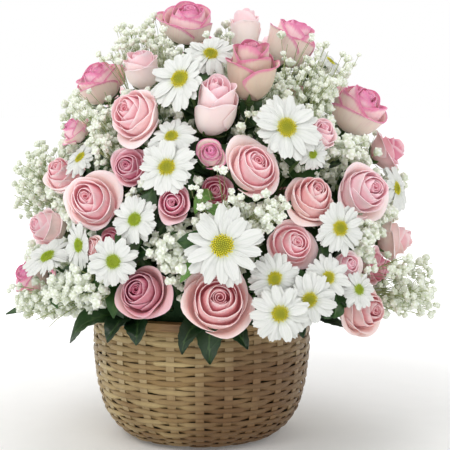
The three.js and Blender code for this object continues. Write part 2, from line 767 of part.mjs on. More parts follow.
// A branch leaves its host's stem just outside the foam.
const FORK_SHARE = 0.45;
for (const bloom of blooms.filter(({ on }) => on)) {
  const host = placed.get(bloom.on);
  const fork = host.route[1].clone().lerp(host.route[2], FORK_SHARE);
  const span = fork.distanceTo(bloom.back);
  const outward = bloom.back.clone().sub(fork).normalize();
  const curve = new THREE.CubicBezierCurve3(
    fork,
    fork.clone().addScaledVector(outward, span * LEAVING_PULL),
    bloom.back.clone().addScaledVector(bloom.axis, -span * ARRIVING_PULL),
    bloom.back,
  );
  bloom.route = withoutStraights(clearRoute(curve.getPoints(STEM_STEPS), 1, bloom.stem, bloom), 1);
}

// ---------------------------------------------------------------- baby's breath
const FORK_REACH = 24; // how far outside the foam a spray of baby's breath forks
const BREATH_TRIES = 60;
const BREATH_ROOM = 1.5;
const DAISY_DROOP = 4; // how far from its plane a daisy's rays reach
const RIM_AIR = 2; // air kept outside the rim
const LINE_STEP = 5; // a twig's way is tried at points this far apart

// True where a ball of this radius is clear of every head and of every bloom's stem.
function isClear(point, radius) {
  for (const bloom of blooms) {
    const offset = point.clone().sub(bloom.centre);
    const height = offset.dot(bloom.axis);
    const out = Math.sqrt(Math.max(offset.lengthSq() - height * height, 0));
    const room = radius + BREATH_ROOM;
    const rose = bloom.kind === "rose";
    const inDaisy = out < bloom.radius + room && Math.abs(height) < DAISY_DROOP + room;
    if (rose ? offset.length() < bloom.radius + room : inDaisy) {
      return false;
    }
    for (let i = 1; i < bloom.route.length; i++) {
      if (distanceToLine(point, bloom.route[i - 1], bloom.route[i]) < bloom.stem + room) {
        return false;
      }
    }
  }
  return Math.hypot(point.x, point.y) > RIM_OUTSIDE + RIM_AIR + radius || point.z > RIM_ROOM + radius;
}

function isLineClear(from, to, radius) {
  const steps = Math.ceil(from.distanceTo(to) / LINE_STEP);
  for (let i = 0; i <= steps; i++) {
    if (!isClear(from.clone().lerp(to, i / steps), radius)) {
      return false;
    }
  }
  return true;
}

// A thin twig that flares into one floret.
const FLORET_SIDES = 4;
const TWIG_SIDES = 3;
const FLORET_TOP = 0.75; // height of a floret's tip, as a share of its radius
function floretRings(from, to) {
  const along = to.clone().sub(from).normalize();
  const turned = turnTo(along);
  return [
    [ringPoint(to, turned, 0, 0, FLORET_RADIUS * FLORET_TOP)],
    plainRing(to, turned, FLORET_SIDES, FLORET_RADIUS, 0),
    plainRing(to, turned, TWIG_SIDES, TWIG, -FLORET_RADIUS),
    plainRing(from, turned, TWIG_SIDES, TWIG, 0),
  ];
}

const florets = []; // every floret so far, as the point in its middle
function breathSpray({ name, az, el, reach, spread }) {
  const middle = DOME_CENTRE.clone().addScaledVector(direction(az, el), reach);
  const route = stemRoute(middle, direction(az, el), 1);
  const mouth = route.points[1];
  const fork = mouth.clone().addScaledVector(route.along, FORK_REACH);
  holes.push({ along: route.along, foot: route.foot, radius: BREATH_STEM });
  let spray = solid(skin(stemRings([route.foot, mouth, fork], BREATH_STEM)));
  const turned = turnTo(direction(az, el));
  let count = 0;
  for (let i = 0; i < BREATH_TRIES && count < FLORETS; i++) {
    const tilt = THREE.MathUtils.degToRad(spread * Math.sqrt((i + 0.5) / BREATH_TRIES));
    const plan = THREE.MathUtils.degToRad(i * GOLDEN);
    const level = Math.sin(tilt);
    const local = new THREE.Vector3(level * Math.cos(plan), level * Math.sin(plan), Math.cos(tilt));
    const long = reach * (1 + TWIG_UNEVEN * Math.sin(i * 2.4));
    const to = DOME_CENTRE.clone().addScaledVector(local.applyQuaternion(turned), long);
    const spaced = florets.every((other) => other.distanceTo(to) > FLORET_SPACING);
    if (spaced && isClear(to, FLORET_RADIUS) && isLineClear(fork, to, TWIG)) {
      florets.push(to);
      count += 1;
      const from = fork.clone().addScaledVector(route.along, -FIRST_TWIG - TWIG_STEP * count);
      spray = spray.add(solid(skin(floretRings(from, to))));
    }
  }
  return { spray, foot: route.foot };
}

// ---------------------------------------------------------------- leaves
const LEAF_STATIONS = [0.2, 0.5, 0.8];
const LEAF_THICK = 1.3;
const LEAF_FOLD = 0.25; // how far a leaf's edges stand above its rib, as a share of its half width
const LEAF_BELLY = 0.85; // below 1 a leaf is widest nearer its foot

// A pointed leaf: a thin lens along a curve, with a raised midrib on its upper side.
function leafRings(curve, width, upward) {
  const rings = [[{ turn: 0, at: curve.getPoint(1) }]];
  for (const station of [...LEAF_STATIONS].reverse()) {
    const at = curve.getPoint(station);
    const along = curve.getTangent(station);
    const side = new THREE.Vector3().crossVectors(along, upward).normalize();
    const top = new THREE.Vector3().crossVectors(side, along).normalize();
    const half = (width / 2) * Math.sin(Math.PI * station ** LEAF_BELLY);
    const fold = LEAF_FOLD * half;
    rings.push([
      { turn: 0, at: at.clone().addScaledVector(side, half).addScaledVector(top, fold) },
      { turn: 0.25, at: at.clone().addScaledVector(top, LEAF_THICK / 2) },
      { turn: 0.5, at: at.clone().addScaledVector(side, -half).addScaledVector(top, fold) },
      { turn: 0.75, at: at.clone().addScaledVector(top, -LEAF_THICK / 2) },
    ]);
  }
  rings.push([{ turn: 0, at: curve.getPoint(0) }]);
  return rings;
}

function leafyStem({ az, leaves }) {
  const outside = direction(az, 0).multiplyScalar(RIM_OUTSIDE).setZ(RIM_TOP);
  const route = stemRoute(outside, direction(az, 0), 1, LEAF_SLOPE);
  holes.push({ along: route.along, foot: route.foot, radius: LEAF_STEM });
  const knot = route.points[1].clone().addScaledVector(route.along, KNOT_REACH);
  let stem = solid(skin(stemRings([route.foot, route.points[1], knot], LEAF_STEM)));
  leaves.forEach(({ bend, tip, width, lean }, order) => {
    const from = knot.clone().addScaledVector(route.along, -LEAF_STEP * (order + 1));
    const over = new THREE.Vector3(...bend);
    const curve = new THREE.QuadraticBezierCurve3(from, over, new THREE.Vector3(...tip));
    const upward = lean ? new THREE.Vector3(...lean).normalize() : UP;
    stem = stem.add(solid(skin(leafRings(curve, width, upward))));
  });
  return { stem, foot: route.foot };
}

// ---------------------------------------------------------------- basket, rim, liner and foam
function basketRadiusAt(height) {
  for (let i = 1; i < BASKET_OUTLINE.length; i++) {
    const [radiusA, heightA] = BASKET_OUTLINE[i - 1];
    const [radiusB, heightB] = BASKET_OUTLINE[i];
    if (height <= heightB) {
      return radiusA + ((radiusB - radiusA) * (height - heightA)) / (heightB - heightA);
    }
  }
  return BASKET_OUTLINE.at(-1)[0];
}

const still = turnTo(UP);
const middleAt = (height) => new THREE.Vector3(0, 0, height);

// The woven wall: each row swells over every other stake, and the next row over the ones between.
function wovenBasket() {
  const rings = [];
  const columns = STAKES * 2;
  const inside = (height) => basketRadiusAt(height) - WALL_THICK;
  rings.push([{ turn: 0, at: middleAt(FLOOR_THICK) }]);
  rings.push(plainRing(middleAt(FLOOR_THICK), still, STAKES, inside(FLOOR_THICK) - FLOOR_CORNER, 0));
  for (const height of [...INSIDE_HEIGHTS, WALL_TOP]) {
    rings.push(plainRing(middleAt(height), still, STAKES, inside(height), 0));
  }
  rings.push(plainRing(middleAt(WALL_TOP), still, columns, basketRadiusAt(WALL_TOP), 0));
  const pitch = (WALL_TOP - WEAVE_START) / WEAVE_ROWS;
  for (let row = WEAVE_ROWS - 1; row >= 0; row--) {
    const height = WEAVE_START + pitch * (row + 0.5);
    const ring = plainRing(middleAt(height), still, columns, basketRadiusAt(height), 0);
    ring.forEach((point, column) => {
      const proud = (column + row) % 2 === 0 ? WEAVE_RELIEF : -WEAVE_RELIEF;
      const level = Math.hypot(point.at.x, point.at.y);
      point.at.x *= (level + proud) / level;
      point.at.y *= (level + proud) / level;
    });
    rings.push(ring);
  }
  rings.push(plainRing(middleAt(0), still, columns, BASE_RADIUS, 0));
  rings.push([{ turn: 0, at: middleAt(0) }]);
  return solid(skin(rings));
}

function rimHoop() {
  const outline = [
    [RIM_INSIDE, RIM_BOTTOM],
    [RIM_OUTSIDE, RIM_BOTTOM],
    [RIM_OUTSIDE, RIM_TOP - RIM_BEVEL],
    [RIM_OUTSIDE - RIM_BEVEL, RIM_TOP],
    [RIM_INSIDE, RIM_TOP],
    [RIM_INSIDE, RIM_BOTTOM],
  ];
  return latheSolid(outline, STAKES);
}

function linerCup() {
  const room = WALL_THICK + GAP + LINER_THICK;
  const outside = [...INSIDE_HEIGHTS, LINER_TOP].map((height) => [
    Math.min(basketRadiusAt(height) - room, RIM_INSIDE - LINER_ROOM),
    height,
  ]);
  const floorEdge = basketRadiusAt(FLOOR_THICK) - WALL_THICK - LINER_CORNER;
  const underside = FLOOR_THICK + GAP;
  const outline = [
    [0, underside],
    [floorEdge, underside],
    ...outside,
    ...outside.toReversed().map(([radius, height]) => [radius - LINER_THICK, height]),
    [floorEdge - LINER_THICK, underside + LINER_THICK],
    [0, underside + LINER_THICK],
  ];
  return latheSolid(outline, LINER_SIDES);
}

// The foam block, with a plain blind hole for every stem.
function foamBlock() {
  const top = FOAM_OUTLINE.at(-1)[1];
  let block = latheSolid([[0, FOAM_BOTTOM], ...FOAM_OUTLINE, [0, top]], FOAM_SIDES);
  for (const { along, foot, radius } of holes) {
    const wide = radius + GAP / Math.cos(Math.PI / STEM_SIDES);
    const turned = turnTo(along);
    const from = foot.clone().addScaledVector(along, -GAP);
    const to = foot.clone().addScaledVector(along, STEM_DEPTH * 2);
    const rings = [to, from].map((end) => plainRing(end, turned, STEM_SIDES, wide, 0));
    block = block.subtract(solid(skin(rings)));
  }
  return block;
}

// ---------------------------------------------------------------- meshes
const arrangement = new THREE.Group();
const COLOURS = {
  splint: 0xb08a58,
  rim: 0xa67c4a,
  liner: 0x2f3d2c,
  foam: 0x3f6b3a,
  rose: 0xf0b4c0,
  daisy: 0xf6f4ea,
  breath: 0xf2efe0,
  leaf: 0x2f5a2b,
};

function addMesh(name, shape, colour, roughness = 0.7, origin = new THREE.Vector3()) {
  const mesh = shape.getMesh();
  const positions = new Float32Array(mesh.numVert * 3);
  for (let i = 0; i < mesh.numVert; i++) {
    positions.set(mesh.vertProperties.subarray(i * mesh.numProp, i * mesh.numProp + 3), i * 3);
  }
  const geometry = new THREE.BufferGeometry();
  geometry.setAttribute("position", new THREE.BufferAttribute(positions, 3));
  geometry.setIndex(new THREE.BufferAttribute(mesh.triVerts, 1));
  geometry.translate(-origin.x, -origin.y, -origin.z);
  const material = new THREE.MeshStandardMaterial({ color: colour, roughness, metalness: 0 });
  const node = new THREE.Mesh(geometry, material);
  node.name = name;
  node.position.copy(origin);
  arrangement.add(node);
}

function hostOf(bloom) {
  return bloom.on ? hostOf(placed.get(bloom.on)) : bloom;
}

for (const host of blooms.filter(({ on }) => !on)) {
  let shape = null;
  for (const bloom of blooms.filter((other) => hostOf(other) === host)) {
    const part = solid(skin([...bloom.head, ...stemRings(bloom.route, bloom.stem)]));
    shape = shape ? shape.add(part) : part;
  }
  addMesh(host.name, shape, COLOURS[host.kind], 0.6, host.foot);
}
for (const entry of BREATH) {
  const { spray, foot } = breathSpray(entry);
  addMesh(entry.name, spray, COLOURS.breath, 0.8, foot);
}
for (const entry of LEAFY_STEMS) {
  const { stem, foot } = leafyStem(entry);
  addMesh(entry.name, stem, COLOURS.leaf, 0.5, foot);
}
addMesh("basket_weave", wovenBasket(), COLOURS.splint);
addMesh("basket_rim", rimHoop(), COLOURS.rim);
addMesh("liner", linerCup(), COLOURS.liner, 0.5);
addMesh("floral_foam", foamBlock(), COLOURS.foam, 0.9);

export default arrangement;
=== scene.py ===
"""The looks of a woven basket filled with roses, daisy chrysanthemums, baby's breath and leaves.

Lengths in the tables are millimetres, as in the part's source, and every mesh is in metres.
"""

import logging
import math
from dataclasses import dataclass, field
from enum import Enum
from typing import Iterable

import bpy
import numpy as np
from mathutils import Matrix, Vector


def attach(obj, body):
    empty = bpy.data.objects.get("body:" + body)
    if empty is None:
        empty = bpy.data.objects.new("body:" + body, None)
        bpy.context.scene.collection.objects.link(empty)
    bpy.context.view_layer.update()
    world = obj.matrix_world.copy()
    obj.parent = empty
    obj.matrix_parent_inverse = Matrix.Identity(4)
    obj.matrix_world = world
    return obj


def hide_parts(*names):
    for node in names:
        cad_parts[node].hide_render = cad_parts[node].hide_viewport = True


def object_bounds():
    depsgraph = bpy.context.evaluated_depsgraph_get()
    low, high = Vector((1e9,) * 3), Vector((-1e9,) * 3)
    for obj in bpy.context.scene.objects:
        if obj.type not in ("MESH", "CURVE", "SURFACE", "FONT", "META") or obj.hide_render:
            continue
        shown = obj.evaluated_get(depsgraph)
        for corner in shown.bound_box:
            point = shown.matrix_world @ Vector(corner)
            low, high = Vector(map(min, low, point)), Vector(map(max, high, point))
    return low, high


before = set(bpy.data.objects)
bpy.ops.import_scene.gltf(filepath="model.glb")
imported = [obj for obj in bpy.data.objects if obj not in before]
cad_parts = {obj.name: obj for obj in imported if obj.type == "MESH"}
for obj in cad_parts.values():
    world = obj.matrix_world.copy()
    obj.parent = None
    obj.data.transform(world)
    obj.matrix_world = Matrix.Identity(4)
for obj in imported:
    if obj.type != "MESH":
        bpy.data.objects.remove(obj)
CAD_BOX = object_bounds()

LOG = logging.getLogger("flower_basket")
MM = 0.001
GOLDEN = 137.508  # golden angle, in degrees
TURN = 2 * math.pi
PHASES = 6.28  # range of a random phase, in radians
Array = np.ndarray
Random = np.random.Generator
Material = bpy.types.Material
Piece = bpy.types.Object


# ------------------------------------------------------------------ layout, as in the part's source
DOME_CENTRE = np.array([8.0, 0.0, 118.0])
STEM_FOCUS = np.array([6.0, 0.0, 92.0])
LOWEST_STEM = 22.0
LEAF_SLOPE = 18.0
STEM_DEPTH = 20.0
ROSE_FULLNESS = 1.1
DAISY_FULLNESS = 1.04
RIM_BOTTOM, RIM_TOP, RIM_INSIDE, RIM_OUTSIDE = 111.5, 120.0, 94.5, 103.5
BASKET_OUTLINE = ((60, 0), (72, 3.5), (82, 12.5), (91, 27), (97, 50), (100, 80), (99.5, 111.2))
FOAM_OUTLINE = ((60, 6.8), (80, 34), (87, 66), (87, 122), (80, 148), (56, 166))
RIM_ZONE = (84, 116)  # the radii between which stems and leaves pass over the rim
RIM_ROOM = 127.0  # the least height that they have there
CAMERA_PLACE = (0.0216, -1.050, 0.300)  # metres
# First seed of the random draws of each kind of piece.
ROSE_SEED, STEM_SEED, WEAVE_SEED, POMPOM_SEED, SPRAY_SEED, BUNCH_SEED = 1000, 5000, 40, 70, 300, 330
HANGING_SEED, FILLER_SEED, STEM_LEAF_SEED, FRESH_SEED = 800, 900, 901, 902


class Tint(Enum):
    """The colourings of the roses."""

    PALE = "pale"
    BLUSH = "blush"
    RIMMED = "rimmed"
    CREAM = "cream"
    DEEP = "deep"
    PEACH = "peach"
    ROSY = "rosy"


@dataclass(frozen=True)
class Bloom:
    """A bloom's place: azimuth, elevation and reach from the dome's centre, radius and facing."""

    name: str
    az: float
    el: float
    reach: float
    radius: float
    face: tuple[float, float]
    tall: float = 1.0
    on: str = ""
    tint: Tint = Tint.PALE


ROSES = (
    Bloom("rose_crown_left", -62, 85, 256, 26, (12, 58), 0.9, tint=Tint.RIMMED),
    Bloom("rose_crown_bud", 62, 82, 250, 15, (30, 84), 1.7, "rose_crown_left"),
    Bloom("rose_crown_right", 84, 73, 247, 23, (60, 62), 1.25, tint=Tint.RIMMED),
    Bloom("rose_crown_front", 22, 66, 229, 23, (8, 72), 1.45, tint=Tint.CREAM),
    Bloom("rose_shoulder_left", -79, 64, 224, 23, (-50, 58), tint=Tint.RIMMED),
    Bloom("rose_shoulder_back", -48, 70, 226, 17, (-30, 66), 1.3),
    Bloom("rose_upper_centre", 1.5, 60, 208, 23, (6, 62), 1.45),
    Bloom("rose_upper_left", -31, 57, 208, 26, (-34, 22), tint=Tint.BLUSH),
    Bloom("rose_edge_left", -68, 52, 204, 14, (-60, 45), on="rose_shoulder_left", tint=Tint.RIMMED),
    Bloom("rose_dusky_left", -32, 47, 180, 18, (-12, 18), tint=Tint.DEEP),
    Bloom("rose_heart", 1, 49, 190, 13, (0, 28), on="rose_centre", tint=Tint.RIMMED),
    Bloom("rose_upper_right", 85, 53, 222, 28, (48, 50), tint=Tint.RIMMED),
    Bloom("rose_edge_right", 92, 41, 214, 20, (82, 30), on="rose_upper_right", tint=Tint.DEEP),
    Bloom("rose_pale_right", 46, 51, 202, 15, (30, 42), 1.2, "rose_right"),
    Bloom("rose_centre", 16, 45, 189, 27, (18, 26), tint=Tint.BLUSH),
    Bloom("rose_centre_right", 35, 36, 181, 24, (25, 36), tint=Tint.PEACH),
    Bloom("rose_right", 58, 36, 189, 26, (30, 14)),
    Bloom("rose_left", -42, 36, 176, 28, (-14, 18), tint=Tint.BLUSH),
    Bloom("rose_far_left", -73, 42, 181, 20, (-30, 40), tint=Tint.BLUSH),
    Bloom("rose_small_centre", -11, 36, 181, 16, (-6, 18), tint=Tint.DEEP),
    Bloom("rose_deep_centre", 3, 45, 160, 14, (0, 12), on="rose_small_centre", tint=Tint.DEEP),
    Bloom("rose_mid_right", 27, 26, 163, 22, (20, 16), tint=Tint.BLUSH),
    Bloom("rose_low_far_left", -81, 27, 164, 21, (-52, 16), on="rose_far_left"),
    Bloom("rose_bud_left", -80, 10, 163, 16, (-56, 30), 1.2, tint=Tint.RIMMED),
    Bloom("rose_mid_left", -36, 28, 152, 13, (-20, 10), on="rose_left", tint=Tint.DEEP),
    Bloom("rose_small_left", -37, 23.5, 170, 11, (-40, 12), on="rose_low_left", tint=Tint.PEACH),
    Bloom("rose_low_left", -21, 13, 152, 24, (-16, 18), tint=Tint.ROSY),
    Bloom("rose_low_centre", 3, 10, 151, 31, (5, 22), tint=Tint.PEACH),
    Bloom("rose_small_right", 44, 18, 170, 14, (28, 16), on="rose_mid_right"),
    Bloom("rose_low_right", 57, 4, 154, 25, (40, 4), tint=Tint.PEACH),
    Bloom("rose_shaded_right", 74, 15, 157, 17, (62, -2), on="rose_low_right", tint=Tint.DEEP),
    Bloom("rose_low_far_right", 88, 20, 178, 21, (84, 4), tint=Tint.BLUSH),
    Bloom("rose_back_low_1", 116, 10, 160, 26, (112, 10), tint=Tint.BLUSH),
    Bloom("rose_back_low_2", 147, 12, 152, 27, (146, 14), tint=Tint.RIMMED),
    Bloom("rose_back_low_3", 180, 10, 150, 28, (180, 12), tint=Tint.BLUSH),
    Bloom("rose_back_low_4", 212, 12, 152, 27, (214, 14)),
    Bloom("rose_back_low_5", 243, 9, 158, 25, (248, 8), tint=Tint.DEEP),
    Bloom("rose_back_mid_1", 120, 36, 184, 26, (116, 32), on="rose_back_low_1"),
    Bloom("rose_back_mid_2", 149, 38, 174, 27, (150, 32), on="rose_back_low_2", tint=Tint.BLUSH),
    Bloom("rose_back_mid_3", 180, 36, 170, 27, (182, 34), on="rose_back_low_3"),
    Bloom("rose_back_mid_4", 211, 38, 172, 26, (212, 30), on="rose_back_low_4", tint=Tint.RIMMED),
    Bloom("rose_back_mid_5", 243, 38, 176, 25, (250, 34), on="rose_back_low_5", tint=Tint.BLUSH),
    Bloom("rose_back_high_1", 128, 60, 214, 25, (126, 52), tint=Tint.RIMMED),
    Bloom("rose_back_high_2", 182, 60, 204, 27, (180, 50), on="rose_back_high_1", tint=Tint.BLUSH),
    Bloom("rose_back_high_3", 232, 60, 208, 25, (238, 52)),
    Bloom("rose_back_high_4", 118, 75, 238, 22, (112, 66), on="rose_back_high_1"),
    Bloom("rose_back_top", 186, 78, 236, 23, (180, 70), on="rose_back_high_3", tint=Tint.CREAM),
)

DAISIES = (
    Bloom("daisies_crown", 1, 73, 237, 23, (6, 42)),
    Bloom("daisy_crown_left", -12, 62, 232, 28, (-24, 26), on="daisies_crown"),
    Bloom("daisies_left_centre", -14, 52, 201, 21, (-10, 42)),
    Bloom("daisy_heart_left", -13, 43, 197, 25, (-12, 22), on="daisies_left_centre"),
    Bloom("daisies_upper_right", 27, 50, 216, 29, (12, 20)),
    Bloom("daisy_green_eye", 36, 45, 204, 14, (22, 4), on="daisies_upper_right"),
    Bloom("daisies_left", -22, 31, 180, 22, (-28, 20)),
    Bloom("daisy_left_low", -27, 20, 176, 22, (-12, 6), on="daisies_left"),
    Bloom("daisy_front", 4, 24, 184, 32, (-3, 14)),
    Bloom("daisy_right", 40, 27, 186, 23, (22, 12)),
    Bloom("daisies_low_right", 19, 16, 170, 22, (6, 12)),
    Bloom("daisy_low_right_2", 19, 7, 176, 24, (2, 6), on="daisies_low_right"),
    Bloom("daisies_low_edge", 28, 10, 174, 23, (12, -2)),
    Bloom("daisy_low_edge_2", 34, 15, 178, 20, (16, 14), on="daisies_low_edge"),
    Bloom("daisy_low_edge_3", 43, 11, 182, 17, (32, 18), on="daisies_low_edge"),
    Bloom("daisies_far_left", -43, 24, 170, 22, (-50, 2)),
    Bloom("daisy_far_left_2", -59, 19, 169, 24, (-34, 52), on="daisies_far_left"),
    Bloom("daisy_left_high", -58, 47, 190, 19, (-48, 38), on="daisies_far_left"),
    Bloom("daisy_edge_right", 83, 33, 201, 22, (56, 14)),
    Bloom("daisy_crown_right", 86, 64, 248, 18, (66, 44)),
    Bloom("daisies_back_left", 228, 26, 178, 23, (230, 20)),
    Bloom("daisy_back_left_2", 258, 22, 170, 21, (260, 14), on="daisies_back_left"),
    Bloom("daisy_back_left_3", 226, 49, 196, 22, (224, 40), on="daisies_back_left"),
    Bloom("daisies_back_right", 133, 22, 176, 23, (132, 18)),
    Bloom("daisy_back_right_2", 164, 23, 172, 23, (164, 20), on="daisies_back_right"),
    Bloom("daisy_back_right_3", 156, 55, 204, 23, (156, 44), on="daisies_back_right"),
    Bloom("daisy_back_left_4", 264, 66, 226, 22, (262, 52), on="daisies_back_left"),
    Bloom("daisy_side_right", 102, 6, 168, 21, (100, 0)),
    Bloom("daisy_back_middle", 196, 24, 174, 22, (196, 20), on="daisies_back_left"),
)


def direction(az: float, el: float) -> Array:
    """Unit vector at an azimuth (0 is the front, 90 the right) and an elevation, in degrees."""
    plan, rise = math.radians(az - 90), math.radians(el)
    return np.array([math.cos(plan) * math.cos(rise), math.sin(plan) * math.cos(rise), math.sin(rise)])


def polar(out: Array | float, angle: Array | float, up: Array | float) -> Array:
    """Points at a distance from Z, an angle round it in radians and a height."""
    return np.stack(np.broadcast_arrays(out * np.cos(angle), out * np.sin(angle), up), axis=-1)


def round_z(out: Array, side: Array, up: Array, turn: float) -> Array:
    """Points that lie out, aside and up, turned round Z by an angle in radians."""
    east, north = math.cos(turn), math.sin(turn)
    return np.stack([out * east - side * north, out * north + side * east, up], axis=1)


def turn_to(axis: Array) -> Array:
    """Rotation matrix that takes +Z to an axis by the shortest way.

    Args:
        axis: the unit vector that +Z is turned to.
    Returns:
        A 3 by 3 matrix.
    """
    x, y, z = axis
    if z < -0.9999:
        return np.diag([1.0, -1.0, -1.0])
    k = 1 / (1 + z)
    return np.array([[1 - k * x * x, -k * x * y, x], [-k * x * y, 1 - k * y * y, y], [-x, -y, z]])


def unit(vector: Array) -> Array:
    """The vector scaled to length 1, row by row if there are several."""
    return vector / np.maximum(np.linalg.norm(vector, axis=-1, keepdims=True), 1e-9)


def bezier(points: Iterable[Array], steps: Array) -> Array:
    """Points on a Bezier curve of any degree, by de Casteljau's rule.

    Args:
        points: the control points.
        steps: where on the curve to read it, from 0 to 1.
    Returns:
        One row for each step.
    """
    rows = [np.repeat(np.asarray(point, float)[None], len(steps), axis=0) for point in points]
    share = np.asarray(steps, float)[:, None]
    while len(rows) > 1:
        rows = [a * (1 - share) + b * share for a, b in zip(rows, rows[1:])]
    return rows[0]


def outline_radius(outline: tuple[tuple[float, float], ...], height: Array | float) -> Array:
    """Radius of a turned outline at a height, 0 above its top."""
    radii, heights = zip(*outline)
    return np.interp(height, heights, radii, right=0.0)


# ------------------------------------------------------------------ mesh building
@dataclass
class Batch:
    """Gathers vertices, faces and per-vertex values for one mesh."""

    verts: list[Array] = field(default_factory=list)
    faces: dict[int, list[tuple[Array, int]]] = field(default_factory=lambda: {4: [], 3: []})
    values: dict[str, list[Array]] = field(default_factory=dict)
    count: int = 0

    def add(self, verts: Array, quads: Array | None = None, tris: Array | None = None,
            **values: Array | float) -> None:
        """Adds one shape.

        Args:
            verts: its points, one row each, in millimetres.
            quads: its four-sided faces, or None.
            tris: its three-sided faces, or None.
            **values: per-vertex attributes, each a number or one number for each point.
        """
        self.verts.append(verts)
        for corners, faces in ((4, quads), (3, tris)):
            if faces is not None:
                self.faces[corners].append((faces + self.count, 0))
        for name, value in values.items():
            self.values.setdefault(name, []).append(np.broadcast_to(np.asarray(value, float), len(verts)))
        self.count += len(verts)

    def join(self, other: "Batch", material: int) -> None:
        """Adds all of another batch, in one material.

        Args:
            other: the batch that is added.
            material: the index of its material.
        """
        for corners, rows in other.faces.items():
            self.faces[corners].extend((faces + self.count, material) for faces, _ in rows)
        self.verts.extend(other.verts)
        for name, values in other.values.items():
            self.values.setdefault(name, []).extend(values)
        self.count += other.count

    def tube(self, path: Array, radii: Array | float, sides: int, tone: float) -> None:
        """Adds a round stem or twig along a path, closed at both ends.

        Args:
            path: its points, one row each.
            radii: one radius, or one for each point.
            sides: how many sides it has.
            tone: how light it is, from 0 to 1.
        """
        count = len(path)
        tangents = unit(np.gradient(path, axis=0))
        start = np.cross(tangents[0], [0.0, 0.0, 1.0])
        if np.linalg.norm(start) < 0.1:
            start = np.cross(tangents[0], [0.0, 1.0, 0.0])
        sideways = [unit(start)]
        for tangent in tangents[1:]:
            sideways.append(unit(sideways[-1] - tangent * np.dot(sideways[-1], tangent)))
        side = np.array(sideways)[:, None]
        other = np.cross(tangents[:, None], side)
        angles = np.arange(sides)[None, :, None] * TURN / sides
        radius = np.broadcast_to(np.asarray(radii, float), count)[:, None, None]
        ring = np.cos(angles) * side + np.sin(angles) * other
        verts = np.vstack([(path[:, None] + radius * ring).reshape(-1, 3), path[:1], path[-1:]])
        last = (count - 1) * sides
        caps = np.vstack([fan(last + sides, 0, sides, -1), fan(last + sides + 1, last, sides)])
        self.add(verts, ring_quads(count, sides), caps, tone=tone, rib=0.0)

    def build(self, name: str) -> Piece:
        """Makes the mesh object, in metres, at the origin.

        Args:
            name: the object's name.
        Returns:
            The new object, linked to the scene and active.
        """
        quads, tris = (np.concatenate([np.zeros((0, corners), int), *(faces for faces, _ in rows)])
                       for corners, rows in self.faces.items())
        mesh = bpy.data.meshes.new(name)
        verts = np.concatenate(self.verts) * MM
        mesh.vertices.add(len(verts))
        mesh.vertices.foreach_set("co", verts.astype(np.float32).ravel())
        loops = np.concatenate([quads.ravel(), tris.ravel()]).astype(np.int32)
        mesh.loops.add(len(loops))
        mesh.loops.foreach_set("vertex_index", loops)
        starts = np.concatenate([np.arange(len(quads)) * 4, quads.size + np.arange(len(tris)) * 3])
        mesh.polygons.add(len(starts))
        mesh.polygons.foreach_set("loop_start", starts.astype(np.int32))
        slots = [np.full(len(faces), material) for rows in self.faces.values() for faces, material in rows]
        mesh.polygons.foreach_set("material_index", np.concatenate(slots).astype(np.int32))
        for key, rows in self.values.items():
            data = mesh.attributes.new(key, "FLOAT", "POINT")
            data.data.foreach_set("value", np.concatenate(rows).astype(np.float32))
        mesh.update(calc_edges=True)
        mesh.validate()
        piece = bpy.data.objects.new(name, mesh)
        bpy.context.scene.collection.objects.link(piece)
        make_active(piece)
        return piece


def make_active(piece: Piece) -> None:
    """Deselects everything else and makes the piece active."""
    bpy.ops.object.select_all(action="DESELECT")
    piece.select_set(True)
    bpy.context.view_layer.objects.active = piece


def smooth(piece: Piece, degrees: float) -> None:
    """Shades the piece smooth, with edges sharper than this angle kept."""
    make_active(piece)
    bpy.ops.object.shade_smooth_by_angle(angle=math.radians(degrees))


def join(piece: Piece, *others: Piece) -> None:
    """Joins other objects to the piece, each with its own materials.

    Args:
        piece: the object that stays.
        *others: the objects that become part of it.
    """
    make_active(piece)
    for other in others:
        other.select_set(True)
    bpy.ops.object.join()


def settle(piece: Piece, finishes: Iterable[Material], slot: str, *nodes: str) -> None:
    """Gives the piece its looks and makes it ride on the body.

    Args:
        piece: a finished mesh object.
        finishes: its materials, if it has none yet.
        slot: the name of its slot; not used.
        *nodes: the CAD nodes for which it stands.
    """
    for finish in finishes:
        piece.data.materials.append(finish)
    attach(piece, "root")
    if nodes:
        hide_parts(*nodes)
    faces = sum(len(polygon.vertices) - 2 for polygon in piece.data.polygons)
    LOG.info("%s: %d triangles", piece.name, faces)


def make_piece(batch: Batch, name: str, degrees: float, finish: Material, slot: str, *nodes: str) -> None:
    """Makes a batch a piece of one material.

    Args:
        batch: its shapes.
        name: the object's name.
        degrees: the angle past which its edges stay sharp.
        finish: its material.
        slot: the name of its slot.
        *nodes: the CAD nodes for which it stands.
    """
    piece = batch.build(name)
    smooth(piece, degrees)
    settle(piece, [finish], slot, *nodes)


def ring_quads(rings: int, sides: int) -> Array:
    """Faces between closed rings of points that follow each other.

    Args:
        rings: how many rings there are.
        sides: how many points each has.
    Returns:
        One row of four point numbers for each face.
    """
    step = np.arange(sides)
    after = (step + 1) % sides
    first = np.stack([step, after, sides + after, sides + step], axis=1)
    return np.vstack([first + k * sides for k in range(rings - 1)])


def fan(tip: int, start: int, sides: int, way: int = 1) -> Array:
    """Faces from a tip to the closed ring of points that begins at `start`, turned over by -1."""
    step = np.arange(sides)
    return np.stack([np.full(sides, tip), start + step, start + (step + 1) % sides], axis=1)[:, ::way]


